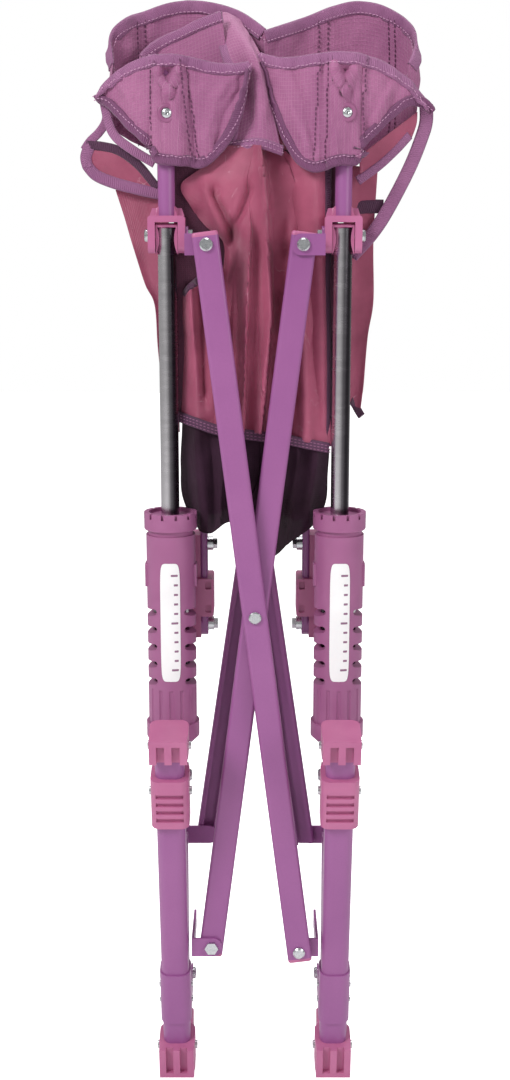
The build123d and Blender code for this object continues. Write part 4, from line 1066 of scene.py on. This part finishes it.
meshPanel = {
    "rows": [
        [(183, 418, 4), (205, 428, 0), (240, 436, -3), (275, 440, -3), (305, 445, -1), (330, 449, 3)],
        [(182, 460, 9), (204, 465, -1), (240, 470, -3), (275, 472, -3), (300, 474, 0), (328, 475, 9)],
        [(184, 498, 14), (203, 503, 2), (236, 500, -2), (262, 510, -3), (296, 505, 0), (325, 502, 13)],
        [(200, 531, 20), (212, 533, 5), (234, 523, 0), (268, 556, -1), (292, 541, 2), (314, 523, 20)]],
    "folds": [
        ("ridge", [(198, 440), (206, 520)], 5, 5),
        ("ridge", [(212, 440), (216, 520)], 4, -4),
        ("lap", [(228, 440), (222, 520)], 6, 4),
        ("ridge", [(282, 450), (272, 540)], 6, 5),
        ("lap", [(300, 450), (288, 530)], 6, 5),
        ("ridge", [(316, 455), (308, 520)], 5, 4)],
    "mesh": (70, 50),
    "crumple": (1.8, 30.0, 71.0),
}
halves("mesh_panel", meshPanel, meshCloth)

meshLayer = {
    "rows": [
        [(196, 425, 9), (214, 430, 13), (256, 438, 16), (296, 440, 13), (318, 445, 9)],
        [(196, 465, 9), (214, 468, 13), (256, 472, 16), (296, 474, 13), (316, 474, 9)],
        [(200, 512, 9), (214, 514, 13), (256, 500, 16), (294, 520, 13), (308, 512, 9)]],
    "mesh": (60, 40),
    "crumple": (2.0, 30.0, 73.0),
}
halves("mesh_layer", meshLayer, meshCloth)
print("seat cloth folded")

# taped seam between the coated cloth and the mesh, sewn three times
seamBand = {
    "steps": 40,
    "width": 7.8,               # mm
    "thick": 2.0,               # mm
    "rows": (0.2, 0.52, 0.84),  # shares of the width
    "lift": 1.2,                # mm, the thread off the tape's middle
    "left": [(178.5, 412, 6), (198, 419, -4.5), (219, 426, -5.5), (240, 429.5, -7.5), (256, 431.5, -7.5)],
    "right": [(256, 431.5, -7.5), (275, 434, -7.5), (292, 436.5, -6.5), (312, 440.5, -4), (330, 444, 0)],
}


def sewSeamBand(side):
    count, width = seamBand["steps"], seamBand["width"]
    edge = [seen(*through(seamBand[side], i / count)) for i in range(count + 1)]
    down = [Vector((0, 0, -1))] * len(edge)
    tape = band(f"seam_tape_{side}", edge, down, width, seamBand["thick"], seamTape)
    rows = [[p + Vector((0, -seamBand["lift"] * mm, -width * mm * share)) for p in edge]
            for share in seamBand["rows"]]
    sewn = stitches(f"seam_stitches_{side}", rows, mauveThread, "tape")
    for piece in (tape, sewn):
        openWithPole(piece)


for side in ("left", "right"):
    sewSeamBand(side)

# the bundle's middle and back: one tube of cloth gathered into folds
seatBundle = {
    "around": 120, "down": 60,
    # height, half width, half depth and middle of the depth in mm
    "levels": [(872, 30, 20, 26), (800, 33, 20, 28), (720, 34, 18, 28), (640, 33, 17, 27), (560, 30, 14, 24),
               (512, 24, 9, 20)],
    # how many, their share of its girth, and the radians that they turn per metre of height
    "folds": (7, 0.16, 3),
    "pleats": (13, 0.05, 9),
    "drift": 1.2,               # radians that the folds stray round it
    "uneven": (0.05, 1.5, 14),  # share of its girth, then patches per turn and per metre
}


def gatherBundle():
    count, down = seatBundle["around"], seatBundle["down"]
    folds, foldShare, foldTurn = seatBundle["folds"]
    pleats, pleatShare, pleatTurn = seatBundle["pleats"]
    unevenShare, patchesRound, patchesUp = seatBundle["uneven"]
    grid = []
    for i in range(count):
        angle = 2 * pi * i / count
        line = []
        for j in range(down + 1):
            height, half, depth, middle = through(seatBundle["levels"], j / down)
            z = height * mm
            turn = folds * angle + foldTurn * z + seatBundle["drift"] * sin(2 * angle)
            fold = 1 - foldShare * (0.5 + 0.5 * sin(turn)) - pleatShare * sin(pleats * angle + pleatTurn * z)
            spot = Vector((cos(angle) * patchesRound, sin(angle) * patchesRound, z * patchesUp))
            fold += unevenShare * noise.noise(spot)
            x = -cos(angle) * half * fold
            y = middle - sin(angle) * depth * fold
            line.append(Vector((x * mm, y * mm, z)))
        grid.append(line)
    piece = paintWith(gridMesh("seat_bundle", grid, closed=True), coatedCloth)
    thicken(piece, sheetThick)
    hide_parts("seat_sling")
    height = max(lengthOf(line) for line in grid)
    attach(piece, "seat")


gatherBundle()
print("bundle gathered")

# the coated cloth that hangs outside the poles
drapeLeft = {
    "rows": [
        [(116, 190, 22), (130, 188, 22), (148, 188, 20), (166, 188, 15)],
        [(124, 215, 23), (136, 214, 22), (150, 214, 21), (168, 214, 16)],
        [(133, 245, 24), (143, 244, 24), (155, 244, 22), (172, 244, 18)],
        [(145.5, 284, 25), (152, 283, 26), (162, 283, 24), (178, 283, 20)],
        [(155, 305, 26), (160, 304, 27), (168, 304, 25), (180, 304, 20)],
        [(158, 347, 26), (162, 346, 27), (170, 346, 25), (180, 346, 20)],
        [(164, 400, 26), (167, 400, 27), (173, 400, 25), (180, 400, 20)],
        [(166, 432, 26), (169, 432, 27), (174, 432, 25), (180, 432, 20)]],
    "mesh": (26, 70),
    "crumple": (1.4, 45.0, 81.0),
}
drapeRight = {
    "rows": [
        [(344, 166, 14), (357, 166, 20), (369, 168, 22), (378, 171, 22)],
        [(344, 240, 16), (356, 240, 22), (366, 240, 23), (374, 240, 23)],
        [(345, 300, 18), (356, 300, 24), (366, 300, 25), (374, 300, 24)],
        [(346, 337, 20), (354, 337, 25), (362, 337, 26), (368, 337, 25)],
        [(348, 380, 22), (354, 382, 26), (359, 384, 27), (364, 386, 25)],
        [(350, 402, 22), (353, 407, 26), (356, 412, 26), (360, 418, 24)]],
    "mesh": (26, 70),
    "crumple": (1.4, 45.0, 83.0),
    "bindings": [("drape_right", ["bottom"], 6.0, darkBinding)],
}
cornerRight = {
    "rows": [
        [(418, 112, 13), (402, 124, 9), (382, 139, 4), (360, 156, 2)],
        [(417, 124, 14), (403, 136, 11), (386, 152, 8), (360, 170, 6)],
        [(412, 138, 15), (398, 153, 13), (382, 168, 11), (360, 184, 9)]],
    "mesh": (30, 20),
    "crumple": (1.0, 45.0, 87.0),
    "bindings": [("corner_right", ["bottom"], 6.8, bindingCloth)],
}
cornerLeft = {
    "rows": [
        [(87, 141, 17), (105, 143, 17), (122, 148, 15), (142, 163, 12), (160, 186, 10)],
        [(82, 156, 19), (98, 162, 18), (116, 169, 16), (138, 179, 14), (160, 193, 12)],
        [(84, 168, 20), (94, 179, 19), (112, 187, 17), (134, 193, 16), (160, 199, 14)]],
    "mesh": (34, 20),
    "crumple": (1.0, 45.0, 89.0),
    "bindings": [("corner_left_low", ["bottom", "left"], 8.5, bindingCloth),
                 ("corner_left_top", ["top"], 6.5, darkBinding)],
}
sideSheet("drape_left", drapeLeft, "left", "hung")
sideSheet("drape_right", drapeRight, "right", "hung")
sideSheet("corner_right", cornerRight, "right", "hung")
sideSheet("corner_left", cornerLeft, "left", "hung")

# straps: their line in picture units and mm of depth, their width in mm and the way in from that line
strapThick = 2.2          # mm
straps = {
    "strap_right": {
        "line": [(432, 104, 18), (432, 122, 18), (427, 140, 18), (414, 172, 19), (392, 214, 18),
                 (376, 238, 15), (356, 260, 11)],
        "side": "right", "width": 9.8, "inward": (-1, 0, -0.35), "cloth": bindingCloth},
    "webbing_right": {
        "line": [(350, 203, 21), (366, 201, 22), (384, 201, 23)],
        "side": "right", "width": 10.0, "inward": (0, 0, -1), "cloth": darkBinding},
    "strap_left": {
        "line": [(99, 96, 21), (103, 108, 20), (103, 120, 19), (97, 130, 18), (88, 139, 17), (82, 148, 18)],
        "side": "left", "width": 6.2, "inward": (1, 0, -0.5), "cloth": bindingCloth},
    "band_left": {
        "line": [(108, 100, 12), (116, 130, 9), (134, 146, 4), (157, 160, 2)],
        "side": "left", "width": 6.8, "inward": (-0.5, 0, -1), "cloth": bindingCloth},
}


def hangStrap(name, shape, count=36):
    edge = [seen(*through(shape["line"], i / count)) for i in range(count + 1)]
    inward = [Vector(shape["inward"])] * len(edge)
    piece = band(name, edge, inward, shape["width"], strapThick, shape["cloth"])
    pole = f"rear_pole_{shape['side']}"
    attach(piece, pole)


for name, shape in straps.items():
    hangStrap(name, shape)
print("straps and drapes hung")

# screws: outlines of the plastic collar and the head, each place its radius and its reach to the front in mm
pocketScrews = {
    "steps": 32,
    "collar": [(0, 0), (7.4, 0), (7.4, 0.6), (6.9, 1.1), (4.6, 1.1), (4.3, 0.7), (0, 0.7)],
    "head": [(0, 0.5), (4.1, 0.5), (4.1, 1.0), (3.485, 1.7), (2.05, 2.3), (0.9, 2.4), (0.8, 0.9), (0, 0.8)],
    "nylon": ("#8C4A74", "#9C5C84"),
    "lift": 0.4,                # mm that the collar's foot stands in front of the cloth's middle
    "places": {"left": (167, 113), "right": (347, 112)},    # picture units
}


def lathe(name, profile, centre, mat):
    # a profile turned round a line along Y
    steps = pocketScrews["steps"]
    work = bmesh.new()
    rings = []
    for radius, out in profile:
        turns = [2 * pi * k / steps for k in range(steps if radius else 1)]
        rings.append([work.verts.new(centre + Vector((radius * mm * cos(a), -out * mm, radius * mm * sin(a))))
                      for a in turns])
    for low, high in zip(rings, rings[1:]):
        for k in range(steps):
            face = list(dict.fromkeys([low[k % len(low)], low[(k + 1) % len(low)],
                                       high[(k + 1) % len(high)], high[k % len(high)]]))
            if len(face) > 2:
                work.faces.new(face)
    mesh = meshFrom(work, name)
    for poly in mesh.polygons:
        poly.use_smooth = True
    return paintWith(putInScene(name, mesh), mat)


def pocketScrew(side):
    aim = seen(*pocketScrews["places"][side], pocketDepth - 4)
    spots = [p for line in pocketGrid[side] for p in line]
    nearest = min(spots, key=lambda p: hypot(p.x - aim.x, p.z - aim.z))
    centre = nearest + Vector((0, -pocketScrews["lift"] * mm, 0))
    collarNylon = mouldedPlastic(f"screwCollar_{side}", *pocketScrews["nylon"], 0.4)
    ring = lathe(f"screw_ring_{side}", pocketScrews["collar"], centre, collarNylon)
    head = lathe(f"screw_head_{side}", pocketScrews["head"], centre, finish["zinc_steel"])
    for piece, slotName in ((ring, "mauve_plastic"), (head, "zinc_steel")):
        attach(piece, f"rear_pole_{side}")


for side in ("left", "right"):
    pocketScrew(side)

label = {
    "radius": 21.25,            # mm from the piston's axis
    "halfAngle": 23.0,          # degrees round the housing
    "column": 180,              # picture units
    "top": 564, "bottom": 682,  # picture units
    "thick": 0.35,              # mm
    "squareness": 7,            # 2 is an ellipse, more is squarer
    "outline": 72,              # points round its edge
    "rings": (1.0, 0.75, 0.5, 0.25),
    "film": ("#F3F1F2", "#FBFAFA"),
    "ticks": 11,
    "longEach": 5,              # every so many ticks is a long one
    "longTick": 0.34, "shortTick": 0.2,     # shares of the label's half width
    "tickHalf": 0.9,            # mm
    "tickEnd": 0.78,            # share of the half width
    "tickSpan": 0.8,            # share of the height that they fill
    "tickLift": 0.1,            # mm
    "tickSquareness": 8,
    "ink": ("#8D6480", "#97708B"),
}


def labelPatch(name, axis, angle, z, halfAngle, tall, lift, power, mat):
    # a rounded patch bent round the piston, faced outwards
    count = label["outline"]
    outline = []
    for k in range(count):
        u, v = cos(2 * pi * k / count), sin(2 * pi * k / count)
        outline.append((abs(u) ** (2 / power) * (1 if u >= 0 else -1),
                        abs(v) ** (2 / power) * (1 if v >= 0 else -1)))
    work = bmesh.new()
    r = (label["radius"] + lift) * mm
    rings = []
    for scale in label["rings"]:
        ring = []
        for u, v in outline:
            a = angle + halfAngle * u * scale
            ring.append(work.verts.new((axis.x + r * sin(a), axis.y - r * cos(a), z + tall * v * scale)))
        rings.append(ring)
    for a, b in zip(rings, rings[1:]):
        for k in range(count):
            work.faces.new((a[k], a[(k + 1) % count], b[(k + 1) % count], b[k]))
    work.faces.new(rings[-1])
    mesh = meshFrom(work, name)
    piece = putInScene(name, mesh)
    if sum(p.normal.y for p in mesh.polygons) > 0:
        mesh.flip_normals()
    thicken(piece, label["thick"], offset=-1)
    return paintWith(piece, mat)


def housingLabel(side):
    low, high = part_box(f"piston_housing_{side}")
    axis = (low + high) / 2
    front = axis.y / mm - label["radius"]
    top = seen(label["column"], label["top"], front).z
    bottom = seen(label["column"], label["bottom"], front).z
    middle, tall = (top + bottom) / 2, (top - bottom) / 2
    half = radians(label["halfAngle"])
    whole = [labelPatch(f"label_{side}", axis, 0, middle, half, tall, 0, label["squareness"], labelFilm)]
    for k in range(label["ticks"]):
        z = middle + (k / (label["ticks"] - 1) - 0.5) * tall * 2 * label["tickSpan"]
        wide = label["longTick"] if k % label["longEach"] == 0 else label["shortTick"]
        whole.append(labelPatch(f"label_{side}_tick_{k}", axis, half * (label["tickEnd"] - wide), z,
                                half * wide, label["tickHalf"] * mm, label["tickLift"],
                                label["tickSquareness"], labelInk))
    piece = join(f"label_{side}", whole)
    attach(piece, f"housing_{side}")


# printed vinyl film: a soft even sheen
labelFilm = mouldedPlastic("whiteVinylFilm", *label["film"], 0.38)
labelInk = mouldedPlastic("greyPrintedInk", *label["ink"], 0.45)
for side in ("left", "right"):
    housingLabel(side)
print("trim fitted")

studio = {
    "floorHalf": 6.0,           # m
    "floor": "#F8F7F8",
    "floorRoughness": 0.9,
    "floorGlow": 0.9,           # what the camera sees of the floor is lifted towards the backdrop
    "backdrop": "#FFFFFF",
    "backdropLight": 0.36,      # what it gives the chair; the camera sees it at full strength
    # place in m, size in m, power in W
    "lamps": {
        "key": ((-1.5, -1.6, 2.2), 0.9, 46.0),
        "fill": ((1.7, -1.3, 1.3), 1.0, 13.0),
        "top": ((0.1, 0.5, 2.6), 1.2, 22.0),
    },
    "aim": (0, 0, 0.5),         # m
}


def layFloor():
    half = studio["floorHalf"]
    mesh = bpy.data.meshes.new("floor")
    corners = [(-half, -half, 0), (half, -half, 0), (half, half, 0), (-half, half, 0)]
    mesh.from_pydata(corners, [], [(0, 1, 2, 3)])
    floor = putInScene("floor", mesh)
    mat = newMaterial("paleFloor")
    path = addNode(mat, "ShaderNodeLightPath")
    glow = addNode(mat, "ShaderNodeMath", {"operation": "MULTIPLY", "1": studio["floorGlow"]},
                   n0=path.outputs["Is Camera Ray"])
    shader = addNode(mat, "ShaderNodeBsdfPrincipled", {
        "Base Color": linear(studio["floor"]), "Roughness": studio["floorRoughness"],
        "Emission Color": linear(studio["backdrop"])}, Emission_Strength=glow.outputs[0])
    addNode(mat, "ShaderNodeOutputMaterial", Surface=shader.outputs[0])
    mesh.materials.append(mat)


def hangBackdrop():
    # white to the camera, softer as light
    world = bpy.data.worlds.new("studio")
    bpy.context.scene.world = world
    world.use_nodes = True
    sky = world.node_tree.nodes["Background"]
    sky.inputs[0].default_value = linear(studio["backdrop"])
    path = world.node_tree.nodes.new("ShaderNodeLightPath")
    level = world.node_tree.nodes.new("ShaderNodeMapRange")
    level.inputs["To Min"].default_value = studio["backdropLight"]
    level.inputs["To Max"].default_value = 1.0
    world.node_tree.links.new(path.outputs["Is Camera Ray"], level.inputs["Value"])
    world.node_tree.links.new(level.outputs[0], sky.inputs[1])


def setLamps():
    for name, (place, size, power) in studio["lamps"].items():
        data = bpy.data.lights.new(name, "AREA")
        data.size = size
        data.energy = power
        lamp = putInScene(name, data)
        lamp.location = place
        lamp.rotation_euler = (Vector(studio["aim"]) - lamp.location).to_track_quat("-Z", "Y").to_euler()


layFloor()
hangBackdrop()
setLamps()
bpy.context.scene.view_settings.view_transform = "Standard"
print("studio lit")
